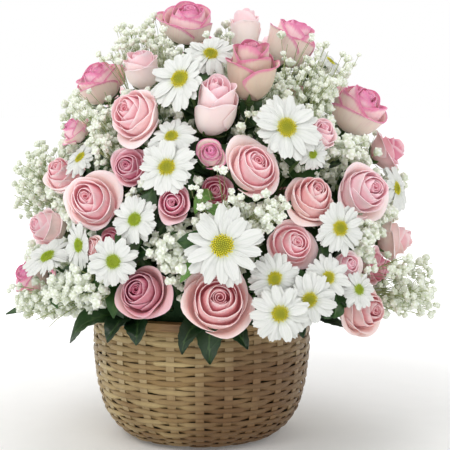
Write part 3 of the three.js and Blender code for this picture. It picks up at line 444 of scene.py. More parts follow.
# ------------------------------------------------------------------ shader maths
class Socket:
    """A node's output socket on which Python's operators add Math nodes."""

    def __init__(self, graph: "Graph", source: bpy.types.NodeSocket) -> None:
        """Wraps one output of a graph's node."""
        self.graph = graph
        self.source = source

    def math(self, operation: str, *others: "Socket | float") -> "Socket":
        """A Math node on this socket and the others."""
        return self.graph.node("ShaderNodeMath", {"operation": operation}, [self, *others])

    def __add__(self, other: "Socket | float") -> "Socket":
        """This plus other."""
        return self.math("ADD", other)

    __radd__ = __add__

    def __mul__(self, other: "Socket | float") -> "Socket":
        """This times other."""
        return self.math("MULTIPLY", other)

    __rmul__ = __mul__

    def __sub__(self, other: "Socket | float") -> "Socket":
        """This less other."""
        return self.math("SUBTRACT", other)

    def __rsub__(self, other: float) -> "Socket":
        """Other less this."""
        return self.graph.node("ShaderNodeMath", {"operation": "SUBTRACT"}, [other, self])

    def __pow__(self, power: float) -> "Socket":
        """This, not below 0, to a power."""
        return self.math("MAXIMUM", 0.0).math("POWER", power)

    def ramp(self, low: float, high: float) -> "Socket":
        """Smooth step from 0 at low to 1 at high."""
        inputs = {"Value": self, "From Min": low, "From Max": high}
        return self.graph.node("ShaderNodeMapRange", {"interpolation_type": "SMOOTHSTEP"}, inputs)


Colour = tuple[float, float, float]
Value = Socket | float | Colour


class Graph:
    """The node tree of one material."""

    def __init__(self, name: str) -> None:
        """Makes the material with its main shader and nothing else.

        Args:
            name: the material's name.
        """
        self.material = bpy.data.materials.new(name)
        self.material.use_nodes = True
        self.tree = self.material.node_tree
        self.shader = next(n for n in self.tree.nodes if n.type == "BSDF_PRINCIPLED")

    def feed(self, target: bpy.types.NodeSocket, value: Value) -> None:
        """Links or sets one input socket.

        Args:
            target: the input.
            value: a socket to link, or a number or colour to set.
        """
        if isinstance(value, Socket):
            self.tree.links.new(value.source, target)
        elif isinstance(value, tuple) and len(target.default_value) == 4:
            target.default_value = (*value, 1.0)
        else:
            target.default_value = value

    def node(self, kind: str, settings: dict[str, object], inputs: dict[str | int, Value] | list[Value],
             output: int | str = 0) -> Socket:
        """Adds a node.

        Args:
            kind: the node's type.
            settings: its properties, which are set first.
            inputs: values or sockets by the input's name or number, or in order.
            output: the name or index of the output that is returned.
        Returns:
            That output, wrapped.
        """
        made = self.tree.nodes.new(kind)
        for key, value in settings.items():
            setattr(made, key, value)
        pairs = inputs.items() if isinstance(inputs, dict) else enumerate(inputs)
        for key, value in pairs:
            self.feed(made.inputs[key], value)
        return Socket(self, made.outputs[output])

    def attribute(self, name: str) -> Socket:
        """A per-vertex value of the mesh."""
        return self.node("ShaderNodeAttribute", {"attribute_name": name}, {}, "Fac")

    def attributes(self, *names: str) -> list[Socket]:
        """Several per-vertex values of the mesh."""
        return [self.attribute(name) for name in names]

    def place(self) -> Socket:
        """Object coordinates, in metres."""
        return self.node("ShaderNodeTexCoord", {}, {}, "Object")

    def spread(self, scale: float, detail: float = 2.0, at: Socket | None = None,
               rough: float = 0.5) -> Socket:
        """Noise from 0 to 1, at object coordinates unless a place is given."""
        inputs = {"Vector": at or self.place(), "Scale": scale, "Detail": detail, "Roughness": rough}
        return self.node("ShaderNodeTexNoise", {}, inputs, "Fac")

    def vector(self, x: Value, y: Value, z: Value) -> Socket:
        """A vector of three values."""
        return self.node("ShaderNodeCombineXYZ", {}, [x, y, z])

    def mix(self, share: Socket | float, first: Value, second: Value) -> Socket:
        """A colour between two colours, by the colour sockets of a Mix node."""
        return self.node("ShaderNodeMix", {"data_type": "RGBA"}, {0: share, 6: first, 7: second}, 2)

    def bump(self, height: Socket, distance: float, strength: float) -> Socket:
        """A normal bent by a height, in metres."""
        inputs = {"Height": height, "Distance": distance, "Strength": strength}
        return self.node("ShaderNodeBump", {}, inputs)

    def finish(self, **inputs: Value) -> Material:
        """Feeds the main shader, with underscores in names as spaces, and returns the material."""
        for key, value in inputs.items():
            self.feed(self.shader.inputs[key.replace("_", " ")], value)
        return self.material


# ------------------------------------------------------------------ finishes
@dataclass(frozen=True)
class PetalFinish:
    """Rose petal: a body colour that deepens into the heart and changes at the petal's edge, partly as a
    painted highlight, with a faint painted glow.
    """

    name: str
    body: Colour
    heart: Colour
    edge: Colour
    foot: Colour
    edge_start: float = 0.62
    edge_share: float = 0.8
    depth: float = 1.6
    glow: float = 0.06

    def make(self) -> Material:
        """Builds the material from the petals' own values."""
        g = Graph(self.name)
        rim, layer, rise, across, tone = g.attributes("rim", "layer", "rise", "across", "tone")
        mottle = g.spread(90.0, 3.0)
        veins = g.spread(1.0, 2.0, g.vector(across * 26.0, rise * 2.2, layer * 37.0))
        colour = g.mix((1.0 - layer) ** self.depth, self.body, self.heart)
        colour = g.mix((0.9 - rise).ramp(0.0, 0.6) * (1.0 - layer) * 0.7, colour, self.heart)
        outer = (layer + (g.spread(16.0, 1.0) - 0.5) * 0.5).ramp(0.4, 0.95)
        colour = g.mix(((1.15 - rise).ramp(0.1, 0.75) * 0.5 + 0.4) * outer, colour, self.foot)
        colour = g.mix(tone.ramp(0.45, 1.0) * 0.5 * layer, colour, self.foot)
        # The edge colour is the own hot pink edge of the rimmed and cream roses; in the other tints the
        # paler edge is partly a painted highlight along the lips.
        edge_mask = (rim + (mottle - 0.5) * 0.5 + (veins - 0.5) * 0.3).ramp(self.edge_start, 1.0)
        colour = g.mix(edge_mask * self.edge_share, colour, self.edge)
        colour = g.mix(veins.ramp(0.45, 0.75) * 0.12, colour, self.edge)
        colour = g.mix(mottle.ramp(0.55, 0.8) * 0.15, colour, self.foot)
        normal = g.bump(veins * 0.7 + mottle * 0.5, 0.00022, 0.55)
        rough = 0.52 + (mottle - 0.5) * 0.16
        # The emission is a painted glow of the heart colour, standing in for light that passes through the
        # petals into the shaded gaps between them.
        return g.finish(Base_Color=colour, Roughness=rough, Normal=normal, Subsurface_Weight=0.22,
                        Subsurface_Radius=(1.0, 0.55, 0.45), Subsurface_Scale=0.0022,
                        Sheen_Weight=0.12, Sheen_Roughness=0.5, Specular_IOR_Level=0.28,
                        Emission_Color=self.heart, Emission_Strength=self.glow)


PETALS = {
    Tint.PALE: PetalFinish("petal_pale", (0.92, 0.73, 0.755), (0.85, 0.39, 0.48), (0.95, 0.82, 0.85),
                           (0.93, 0.82, 0.76), 0.5, 0.6, 1.5),
    Tint.BLUSH: PetalFinish("petal_blush", (0.93, 0.74, 0.75), (0.81, 0.29, 0.36), (0.95, 0.84, 0.85),
                            (0.93, 0.80, 0.74), 0.5, 0.65, 1.2, 0.08),
    Tint.RIMMED: PetalFinish("petal_rimmed", (0.92, 0.73, 0.72), (0.88, 0.45, 0.60), (0.72, 0.16, 0.38),
                             (0.85, 0.72, 0.61), 0.52, 0.85, 1.7, 0.05),
    Tint.CREAM: PetalFinish("petal_cream", (0.70, 0.55, 0.46), (0.84, 0.42, 0.52), (0.68, 0.16, 0.34),
                            (0.64, 0.53, 0.40), 0.55, 0.85, 2.2, 0.03),
    Tint.DEEP: PetalFinish("petal_deep", (0.84, 0.47, 0.56), (0.56, 0.06, 0.16), (0.92, 0.72, 0.77),
                           (0.89, 0.66, 0.65), 0.55, 0.6, 0.8, 0.07),
    Tint.PEACH: PetalFinish("petal_peach", (0.87, 0.60, 0.56), (0.70, 0.20, 0.25), (0.94, 0.80, 0.79),
                            (0.90, 0.77, 0.72), 0.48, 0.7, 1.3),
    Tint.ROSY: PetalFinish("petal_rosy", (0.72, 0.33, 0.41), (0.48, 0.05, 0.13), (0.86, 0.60, 0.66),
                           (0.82, 0.62, 0.58), 0.58, 0.5, 0.8, 0.04),
}


@dataclass(frozen=True)
class GreenFinish:
    """Leaf or stem green: mottled, with paler ribs where the mesh says so."""

    name: str
    dark: Colour
    light: Colour
    rib: Colour
    roughness: float

    def make(self) -> Material:
        """Builds the material. The mesh's value `rib` is 1 on a rib."""
        g = Graph(self.name)
        broad = g.spread(28.0, 2.0)
        fine = g.spread(420.0, 2.0)
        tone, rib = g.attributes("tone", "rib")
        colour = g.mix((broad * 0.6 + tone * 0.7 - 0.15).ramp(0.1, 0.9), self.dark, self.light)
        colour = g.mix(rib.ramp(0.55, 0.95) * 0.6, colour, self.rib)
        colour = g.mix(fine.ramp(0.4, 0.75) * 0.18, colour, self.dark)
        normal = g.bump(fine * 0.4 + rib, 0.0003, 0.6)
        return g.finish(Base_Color=colour, Roughness=self.roughness + (fine - 0.5) * 0.2, Normal=normal,
                        Subsurface_Weight=0.08, Subsurface_Radius=(0.4, 1.0, 0.2), Subsurface_Scale=0.0015,
                        Specular_IOR_Level=0.45)


LEAF_GREEN = GreenFinish(
    "leaf_green", (0.008, 0.026, 0.010), (0.042, 0.115, 0.026), (0.08, 0.16, 0.045), 0.34)
FRESH_GREEN = GreenFinish("fresh_green", (0.08, 0.20, 0.04), (0.20, 0.40, 0.09), (0.32, 0.50, 0.18), 0.4)
STEM_GREEN = GreenFinish("stem_green", (0.05, 0.10, 0.03), (0.13, 0.22, 0.07), (0.16, 0.24, 0.09), 0.5)
TWIG_GREEN = GreenFinish("twig_green", (0.20, 0.25, 0.09), (0.42, 0.45, 0.22), (0.4, 0.4, 0.2), 0.55)


# ------------------------------------------------------------------ heads and the room between them
@dataclass
class Head:
    """One bloom's head, placed: its fine meshes and where it stands."""

    bloom: Bloom
    rose: bool
    centre: Array
    axis: Array
    radius: float
    spin: float
    sheets: Batch
    solids: Batch
    route: Array | None = None

    @property
    def back(self) -> Array:
        """Where the stem meets the head."""
        depth = 0.72 * self.radius * self.bloom.tall if self.rose else 0.3 * self.radius
        return self.centre - self.axis * depth

    @property
    def stem(self) -> float:
        """Radius of the stem."""
        return 2.3 if self.rose else 1.7

    @property
    def points(self) -> Array:
        """Every point of the head."""
        return np.concatenate(self.sheets.verts + self.solids.verts)

    def squeeze(self, along: Array, by: float) -> None:
        """Presses the side of the head that looks along a direction flatter.

        Args:
            along: unit vector of that side.
            by: how far its furthest point comes in.
        """
        middle = self.centre @ along
        high = (self.points @ along).max()
        start = middle + 0.15 * (high - middle)
        keep = max(1 - by / (high - start), 0.05)
        for batch in (self.sheets, self.solids):
            batch.verts = [press(verts, along, start, keep) for verts in batch.verts]


def press(verts: Array, along: Array, start: float, keep: float) -> Array:
    """Points with what lies past `start` along a direction scaled to a share of its distance."""
    past = np.maximum(verts @ along - start, 0)
    return verts + np.outer(past * (keep - 1), along)


def probes(count: int) -> Array:
    """Directions spread evenly over a sphere."""
    step = np.arange(count)
    height = 1 - 2 * (step + 0.5) / count
    return polar(np.sqrt(1 - height ** 2), np.radians(step * GOLDEN), height)


@dataclass
class Dome:
    """All the heads together, with the room that they leave."""

    heads: list[Head]
    air: float = 0.5
    press_passes: int = 3
    route_passes: int = 40
    stem_air: float = 1.2
    disc_half: float = 4.5

    def press_apart(self) -> None:
        """Presses neighbouring heads flat against each other where they would cross."""
        ways = probes(160)
        for _ in range(self.press_passes):
            for i, first in enumerate(self.heads):
                for second in self.heads[i + 1:]:
                    between = second.centre - first.centre
                    distance = np.linalg.norm(between)
                    if distance < (first.radius + second.radius) * 1.15:
                        self.press_pair(first, second, between / distance, ways)

    def press_pair(self, first: Head, second: Head, between: Array, ways: Array) -> None:
        """Presses two heads apart along the direction in which they cross least.

        Args:
            first: one head.
            second: the other.
            between: unit vector from the first to the second.
            ways: the directions that are tried, besides that one.
        """
        tried = np.vstack([between[None], ways[ways @ between > 0.2]])
        gaps = (second.points @ tried.T).min(0) - (first.points @ tried.T).max(0)
        best = int(np.argmax(gaps))
        if gaps[best] < self.air:
            by = (self.air - gaps[best]) / 2 + 0.02
            first.squeeze(tried[best], by)
            second.squeeze(-tried[best], by)

    def keep_inside(self) -> None:
        """Presses what stands out of the part's own box back into it."""
        low, high = (np.array(corner) / MM for corner in CAD_BOX)
        walls = [(sign * np.eye(3)[axis], sign * box[axis]) for sign, box in ((1, high), (-1, low))
                 for axis in range(3)]
        for head in self.heads:
            for along, wall in walls:
                past = (head.points @ along).max() - wall + self.air
                if past > 0:
                    head.squeeze(along, past)

    def surface(self, points: Array) -> Array:
        """How far from the dome's centre the blooms' middles stand, on the way to each point.

        Args:
            points: one row each.
        Returns:
            One distance for each point, from the nearest blooms.
        """
        middles = np.array([head.centre for head in self.heads]) - DOME_CENTRE
        reaches = np.linalg.norm(middles, axis=1)
        near = np.exp((unit(points - DOME_CENTRE) @ (middles / reaches[:, None]).T - 1) / 0.012)
        return (near @ reaches) / near.sum(1)

    def clearance(self, points: Array, own: Head | None = None) -> Array:
        """How far each point is outside the nearest head, below 0 inside one.

        Args:
            points: one row each.
            own: a head that doesn't count.
        Returns:
            One distance for each point, in millimetres.
        """
        least = np.full(len(points), np.inf)
        for head in self.heads:
            if head is own:
                continue
            offset = points - head.centre
            if head.rose:
                room = np.linalg.norm(offset, axis=1) - head.radius
            else:
                height = offset @ head.axis
                out = np.sqrt(np.maximum((offset ** 2).sum(1) - height ** 2, 0))
                level = np.abs(height + 0.05 * head.radius) - self.disc_half
                room = np.maximum(out - head.radius, level)
            least = np.minimum(least, room)
        return least

    def clear_route(self, points: Array, first_free: int, own: Head) -> Array:
        """Moves the free points of a stem out of the heads that it would cross, and over the rim.

        Args:
            points: the stem's points, which are changed.
            first_free: the first point that may move.
            own: the head that it carries.
        Returns:
            The same points.
        """
        others = [head for head in self.heads if head is not own]
        for _ in range(self.route_passes):
            for i in range(first_free, len(points) - 1):
                for head in others:
                    keep = head.radius * (1.02 if head.rose else 0.62) + own.stem + self.stem_air
                    away = points[i] - head.centre
                    distance = np.linalg.norm(away)
                    if distance < keep:
                        points[i] = points[i] + away / distance * (keep - distance)
                if RIM_ZONE[0] < math.hypot(points[i][0], points[i][1]) < RIM_ZONE[1]:
                    points[i][2] = max(points[i][2], RIM_ROOM + own.stem)
        return points


def leaving_direction(target: Array, slope: float = LOWEST_STEM) -> Array:
    """Direction in which a stem leaves the foam.

    Args:
        target: where it leads.
        slope: its least slope, in degrees.
    Returns:
        A unit vector.
    """
    along = unit(target - STEM_FOCUS)
    level = math.hypot(along[0], along[1])
    lowest = math.radians(slope)
    if math.atan2(along[2], level) < lowest:
        along = np.array([*(along[:2] * math.cos(lowest) / level), math.sin(lowest)])
    return along


def foam_reach(along: Array) -> float:
    """How far from the stem focus a line comes out of the foam.

    Args:
        along: the line's unit vector.
    Returns:
        The distance, in millimetres.
    """
    reaches = np.arange(20, 200, 0.5)
    points = STEM_FOCUS + reaches[:, None] * along
    outside = np.hypot(points[:, 0], points[:, 1]) > outline_radius(FOAM_OUTLINE, points[:, 2])
    return float(reaches[np.argmax(outside)])


def stem_route(back: Array, arriving: Array, steps: int, slope: float = LOWEST_STEM) -> tuple[Array, Array]:
    """A stem's way from its foot in the foam to a head's back.

    Args:
        back: where it ends.
        arriving: unit vector along which it arrives.
        steps: how many stretches it has outside the foam.
        slope: its least slope where it leaves the foam, in degrees.
    Returns:
        The direction in which it leaves, and its points.
    """
    along = leaving_direction(back, slope)
    reach = foam_reach(along)
    foot = STEM_FOCUS + along * (reach - STEM_DEPTH)
    mouth = STEM_FOCUS + along * (reach + 3)
    span = np.linalg.norm(back - mouth)
    controls = (mouth, mouth + along * span * 0.45, back - arriving * span * 0.3, back)
    return along, np.vstack([foot[None], bezier(controls, np.linspace(0, 1, steps + 1))])


def smooth_path(points: Array, steps: int) -> Array:
    """A smooth curve through points.

    Args:
        points: one row each.
        steps: how many steps it takes between each two of them.
    Returns:
        The curve's points, the given ones among them.
    """
    padded = np.vstack([2 * points[0] - points[1], points, 2 * points[-1] - points[-2]])
    rows = [points[:1]]
    t = np.linspace(0, 1, steps + 1)[1:, None]
    for a, b, c, d in zip(padded, padded[1:], padded[2:], padded[3:]):
        rows.append(0.5 * (2 * b + (c - a) * t + (2 * a - 5 * b + 4 * c - d) * t ** 2
                           + (3 * b - a - 3 * c + d) * t ** 3))
    return np.vstack(rows)


class Sheet:
    """A flat grid, modelled once, that petals, rays and leaves are bent from."""

    made: dict[tuple[int, int], "Sheet"] = {}

    def __init__(self, across: int, along: int) -> None:
        """Adds the grid, reads its points as u from -1 to 1 and s from 0 to 1, and removes it.

        Args:
            across: its number of faces along u.
            along: its number of faces along s.
        """
        bpy.ops.mesh.primitive_grid_add(x_subdivisions=across, y_subdivisions=along, size=2)
        grid = bpy.context.object
        points = np.array([vertex.co[:2] for vertex in grid.data.vertices])
        self.u = points[:, 0]
        self.s = (points[:, 1] + 1) / 2
        self.quads = np.array([tuple(face.vertices) for face in grid.data.polygons])
        bpy.data.meshes.remove(grid.data)

    @classmethod
    def of(cls, across: int, along: int) -> "Sheet":
        """The grid with these numbers of faces, made on first use."""
        if (across, along) not in cls.made:
            cls.made[across, along] = cls(across, along)
        return cls.made[across, along]


def smoothstep(low: float, high: float, value: Array) -> Array:
    """Smooth step from 0 at low to 1 at high."""
    share = np.clip((value - low) / (high - low), 0, 1)
    return share * share * (3 - 2 * share)


# ------------------------------------------------------------------ roses
@dataclass(frozen=True)
class RoseHabit:
    """How a rose's petals change from its eye to its guard petals.

    Each pair holds the first and the last petal's value. Lengths are shares of the head's radius
    and half widths are in degrees.
    """

    petals: int
    belly: tuple[float, float]
    crest: tuple[float, float]
    height: tuple[float, float]
    half: tuple[float, float]
    opening: float = 1.25
    falls_from: float = 0.35
    roll: float = 1.0
    ruffle: float = 1.0


OPEN_ROSE = RoseHabit(14, (0.40, 0.74), (0.15, 0.82), (0.78, 0.12), (106, 74), 1.5, 0.3)
GOBLET_ROSE = RoseHabit(11, (0.42, 0.84), (0.15, 0.82), (0.77, 0.44), (105, 84), 1.1, 0.5, 0.8)
CUP_ROSE = RoseHabit(13, (0.42, 0.84), (0.15, 0.90), (0.70, 0.44), (106, 78), 1.35, 0.4, 0.6, 1.9)
SMALL_ROSE = RoseHabit(10, (0.42, 0.78), (0.17, 0.84), (0.76, 0.16), (106, 76), 1.3, 0.35)
GOBLET_TALL = 1.15
SMALL_ROSE_RADIUS = 18.0


@dataclass
class RoseHead:
    """A rose: a scrolled eye inside rings of cupped petals whose lips roll back."""

    bloom: Bloom
    radius: float
    rng: Random

    def build(self, spin: float) -> Batch:
        """All the petals round +Z, with a radius of 1.

        Args:
            spin: how far it is turned, from 0 to 1.
        Returns:
            The petals' sheets.
        """
        batch = Batch()
        self.scroll(batch, spin * TURN)
        habit = OPEN_ROSE if self.radius >= SMALL_ROSE_RADIUS else SMALL_ROSE
        if self.bloom.tall >= GOBLET_TALL:
            habit = GOBLET_ROSE
        elif self.bloom.tint is Tint.RIMMED and habit is OPEN_ROSE:
            habit = CUP_ROSE
        for number in range(habit.petals):
            turn = spin * TURN + math.radians(number * GOLDEN) + self.rng.normal(0, 0.18)
            self.petal(batch, habit, number / (habit.petals - 1), turn)
        return batch

    def petal(self, batch: Batch, habit: RoseHabit, share: float, turn: float) -> None:
        """Adds one petal.

        Args:
            batch: where it goes.
            habit: how its rose grows.
            share: 0 for the innermost petal and 1 for the outermost.
            turn: its middle's angle round the rose, in radians.
        """
        rng = self.rng
        sheet = Sheet.of(12, 7) if share < 0.25 else Sheet.of(16, 11)
        u, s = sheet.u, sheet.s
        fall = float(smoothstep(habit.falls_from, 1, share))
        belly = habit.belly[0] + (habit.belly[1] - habit.belly[0]) * share
        crest = habit.crest[0] + (habit.crest[1] - habit.crest[0]) * share ** habit.opening
        crest *= 1 + np.clip(rng.normal(0, 0.02 + 0.045 * share), -0.1, 0.06)
        high = habit.height[0] + (habit.height[1] - habit.height[0]) * fall
        high += rng.normal(0, 0.02 + 0.04 * share)
        half = math.radians(habit.half[0] + (habit.half[1] - habit.half[0]) * share)
        roll = habit.roll * (0.2 + 0.8 * share ** 0.7) * rng.uniform(0.7, 1.25)
        point = 0.07 * share * np.exp(-(u / 0.22) ** 2)
        v = s * (1 - (0.16 + 0.22 * share) * np.abs(u) ** 2.3 + point)
        width = 0.30 + 0.70 * smoothstep(0, 0.6, v)
        angle = turn + half * width * u + rng.normal(0, 0.06) * v
        controls = [(0.10, -0.58), (belly * 1.10, -0.50), (belly, high * 0.45), (crest, high)]
        out, up = bezier(controls, np.clip(v, 0, 1)).T
        lip_start = 0.80 - 0.24 * share
        lip = np.clip((v - lip_start) / (1 - lip_start), 0, 1.2)
        side = np.abs(u) ** 1.5
        out = out + roll * lip ** 2 * (0.07 + 0.11 * share + 0.06 * side)
        up = up - roll * lip ** 2.2 * (0.02 + 0.08 * share + 0.14 * side)
        phase, waves = rng.uniform(0, PHASES), rng.uniform(0.8, 2.2)
        skew = rng.normal(0, 0.06) * share
        ruffle = habit.ruffle * np.sin(u * math.pi * waves + phase) * smoothstep(0.45, 1, v)
        ruffle = ruffle * 0.028 * (0.3 + share)
        out = out * (1 + u * (0.05 * (1.1 - share) + skew)) + ruffle
        up = up + 0.7 * ruffle * np.cos(phase)
        verts = polar(out, angle, up * self.bloom.tall)
        edges = 0.85 * smoothstep(0.8, 1.0, np.abs(u)) * smoothstep(0.3, 0.7, s)
        batch.add(verts, sheet.quads, rim=np.maximum(smoothstep(0.7, 1.0, s), edges), layer=share, rise=v,
                  across=u + turn, tone=rng.uniform(0, 1))

    def scroll(self, batch: Batch, spin: float) -> None:
        """Adds the tight scroll of the eye.

        Args:
            batch: where it goes.
            spin: the angle at which it begins, in radians.
        """
        sheet = Sheet.of(44, 4)
        t, s = (sheet.u + 1) / 2, sheet.s
        angle = spin + t * 2.6 * TURN
        out = 0.025 + 0.14 * t ** 0.85 + 0.012 * s ** 4
        up = (0.1 + s * (0.58 + 0.05 * t + 0.025 * np.sin(angle * 1.5))) * self.bloom.tall
        batch.add(polar(out, angle, up), sheet.quads, rim=s ** 3 * 0.8, layer=0.0, rise=s,
                  across=t * 6, tone=0.5)


# ------------------------------------------------------------------ daisies
# Daisies whose eyes are still green.
LIME_EYES = ("daisies_left", "daisy_left_low", "daisy_green_eye", "daisies_far_left", "daisy_far_left_2",
             "daisy_low_edge_3", "daisy_back_left_2", "daisy_back_right_3")


@dataclass
class DaisyHead:
    """A daisy chrysanthemum: two rings of broad, grooved, toothed rays round a domed disc."""

    bloom: Bloom
    radius: float
    rng: Random
    rays: tuple[int, int] = (12, 12)
    disc: float = 0.265
    dome_sides: int = 18
    florets: int = 110

    def build(self, spin: float) -> tuple[Batch, Batch]:
        """All of it round +Z, with a radius of 1.

        Args:
            spin: how far it is turned, from 0 to 1.
        Returns:
            The rays' sheets and the solid disc.
        """
        sheets, solids = Batch(), Batch()
        for ring in range(2):
            for ray in range(self.rays[ring]):
                turn = (ray + 0.5 * ring + self.rng.normal(0, 0.14)) / self.rays[ring] + spin
                self.ray(sheets, ring, turn * TURN)
        self.dome(solids)
        for number in range(self.florets):
            self.floret(solids, number)
        return sheets, solids

    def ray(self, batch: Batch, ring: int, turn: float) -> None:
        """Adds one ray.

        Args:
            batch: where it goes.
            ring: its ring, 0 over 1.
            turn: its middle's angle round the daisy, in radians.
        """
        rng = self.rng
        sheet = Sheet.of(8, 8) if ring == 0 else Sheet.of(6, 6)
        u, s = sheet.u, sheet.s
        long = rng.uniform(0.78, 0.98) if ring == 0 else rng.uniform(0.84, 1.0)
        teeth = 0.022 * np.cos(u * rng.choice([2.0, 3.0]) * math.pi + rng.normal(0, 0.5))
        teeth = teeth * smoothstep(0.85, 1, s)
        reach = 0.17 + (long - 0.17) * s * (1 - 0.16 * np.abs(u) ** 3) - teeth
        half = rng.uniform(0.14, 0.19) * (0.34 + 0.66 * smoothstep(0, 0.55, s))
        half = half * (1 - 0.2 * smoothstep(0.75, 1, s))
        twist = rng.normal(0, 0.26) * s
        curled = rng.random() < 0.2
        droop = rng.uniform(-0.05, 0.12) + 0.05 * ring + (0.16 if curled else 0.0)
        rise = 0.045 - 0.03 * ring + 0.13 * s - (0.12 + droop) * s ** 2.2
        cup = rng.uniform(-0.05, 0.035)
        groove = 0.012 * np.cos(u * TURN) * smoothstep(0, 0.3, s) + cup * u ** 2
        side = u * half * np.cos(twist) + rng.normal(0, 0.04) * s ** 2
        up = np.clip(rise + groove + u * half * np.sin(twist), -0.19, 0.17)
        batch.add(round_z(reach, side, up, turn), sheet.quads, rise=s, across=u,
                  tone=rng.uniform(0, 1), ring=float(ring))

    def dome(self, batch: Batch) -> None:
        """Adds the dome under the disc's florets, closed down to the stem.

        Args:
            batch: where it goes.
        """
        sides = self.dome_sides
        outline = [(0.05, 0.100), (0.12, 0.096), (0.20, 0.078), (0.25, 0.045), (0.27, 0.005), (0.20, -0.05),
                   (0.13, -0.16)]
        turns = np.arange(sides) * TURN / sides
        verts = np.vstack([*(polar(r, turns, z) for r, z in outline), [[0, 0, 0.102], [0, 0, -0.18]]])
        last = (len(outline) - 1) * sides
        caps = np.vstack([fan(last + sides, 0, sides), fan(last + sides + 1, last, sides, -1)])
        out = np.hypot(verts[:, 0], verts[:, 1]) / self.disc
        batch.add(verts, ring_quads(len(outline), sides)[:, ::-1], caps, rise=0.0, across=out, tone=0.3,
                  ring=np.where(verts[:, 2] < 0, -1.0, 0.0), lime=float(self.bloom.name in LIME_EYES))

    def floret(self, batch: Batch, number: int) -> None:
        """Adds one of the disc's tiny tubes, in the spiral of a sunflower.

        Args:
            batch: where it goes.
            number: its number from the middle.
        """
        sides = 5
        share = math.sqrt((number + 0.5) / self.florets)
        turn = math.radians(number * GOLDEN)
        height = 0.112 * math.sqrt(max(1 - (share * 0.93) ** 2, 0.02))
        tilt = share * 0.9
        axis = polar(math.sin(tilt), turn, math.cos(tilt))
        base = polar(share * self.disc * 0.97, turn, height - 0.012)
        size = 0.0155 + 0.0085 * share
        long = 0.026 + 0.03 * share ** 2 + self.rng.uniform(0, 0.012)
        angles = np.arange(sides) * TURN / sides + self.rng.uniform(0, 1)
        ring = polar(1.0, angles, 0.0) @ turn_to(axis).T * size
        verts = np.vstack([base + ring * 0.7, base + ring + axis * long * 0.7, base + axis * long])
        batch.add(verts, ring_quads(2, sides), fan(2 * sides, sides, sides),
                  rise=np.repeat([0.0, 0.7, 1.0], [sides, sides, 1]), across=share,
                  tone=self.rng.uniform(0, 1), ring=1.0, lime=float(self.bloom.name in LIME_EYES))


def place_heads() -> list[Head]:
    """Builds every head where its bloom stands, not yet pressed against its neighbours."""
    heads = []
    for rose, blooms, fullness in ((True, ROSES, ROSE_FULLNESS), (False, DAISIES, DAISY_FULLNESS)):
        for order, bloom in enumerate(blooms):
            rng = np.random.default_rng(ROSE_SEED * rose + order)
            axis = direction(*bloom.face)
            centre = DOME_CENTRE + direction(bloom.az, bloom.el) * bloom.reach
            radius = bloom.radius * fullness
            spin = (order * GOLDEN % 360) / 360
            if rose:
                sheets, solids = RoseHead(bloom, radius, rng).build(spin), Batch()
            else:
                sheets, solids = DaisyHead(bloom, radius, rng).build(spin)
            turned = turn_to(axis)
            for batch in (sheets, solids):
                if batch.verts:
                    batch.verts = [np.concatenate(batch.verts) * radius @ turned.T + centre]
            heads.append(Head(bloom, rose, centre, axis, radius, spin, sheets, solids))
    return heads


# ------------------------------------------------------------------ blooms as pieces
def closed_sheets(batch: Batch, name: str, thick: float) -> Piece:
    """Makes sheets an object and gives them a thickness.

    Args:
        batch: the sheets.
        name: the object's name.
        thick: the thickness, in millimetres.
    Returns:
        The object, shaded smooth.
    """
    piece = batch.build(name)
    solidify = piece.modifiers.new("thickness", "SOLIDIFY")
    solidify.thickness = thick * MM
    solidify.offset = 0.0
    bpy.ops.object.modifier_apply(modifier=solidify.name)
    smooth(piece, 70)
    return piece


@dataclass
class Blooms:
    """Every rose and daisy, one piece for each stem with its side stems."""

    dome: Dome
    petal_thick: float = 0.5
    ray_thick: float = 0.45

    def families(self) -> dict[str, list[Head]]:
        """Sorts the heads by stem.

        Returns:
            The heads of each stem, under the name of the CAD node that holds them.
        """
        by_name = {head.bloom.name: head for head in self.dome.heads}
        families: dict[str, list[Head]] = {}
        for head in self.dome.heads:
            host = head
            while host.bloom.on:
                host = by_name[host.bloom.on]
            families.setdefault(host.bloom.name, []).append(head)
        return families

    def build(self, finishes: "Finishes") -> None:
        """Builds every piece and lets it stand for its node."""
        for name, heads in self.families().items():
            if heads[0].rose:
                self.build_roses(name, heads, finishes)
            else:
                self.build_daisies(name, heads, finishes)

    def build_roses(self, name: str, heads: list[Head], finishes: "Finishes") -> None:
        """Builds the roses of one stem.

        Args:
            name: the stem's node.
            heads: its roses.
            finishes: every material.
        """
        tints = list(dict.fromkeys(head.bloom.tint for head in heads))
        batch = Batch()
        for head in heads:
            batch.join(head.sheets, tints.index(head.bloom.tint))
        piece = closed_sheets(batch, f"{name}_petals", self.petal_thick)
        settle(piece, [finishes.petals[tint] for tint in tints], "rose_petal", name)

    def build_daisies(self, name: str, heads: list[Head], finishes: "Finishes") -> None:
        """Builds the daisies of one stem, rays and discs joined in one mesh.

        Args:
            name: the stem's node.
            heads: its daisies.
            finishes: every material.
        """
        rays, discs = Batch(), Batch()
        for head in heads:
            rays.join(head.sheets, 0)
            discs.join(head.solids, 0)
        piece = closed_sheets(rays, f"{name}_heads", self.ray_thick)
        eyes = discs.build(f"{name}_discs")
        smooth(eyes, 40)
        piece.data.materials.append(finishes.ray)
        eyes.data.materials.append(finishes.disc)
        join(piece, eyes)
        settle(piece, [], "daisy_ray", name)


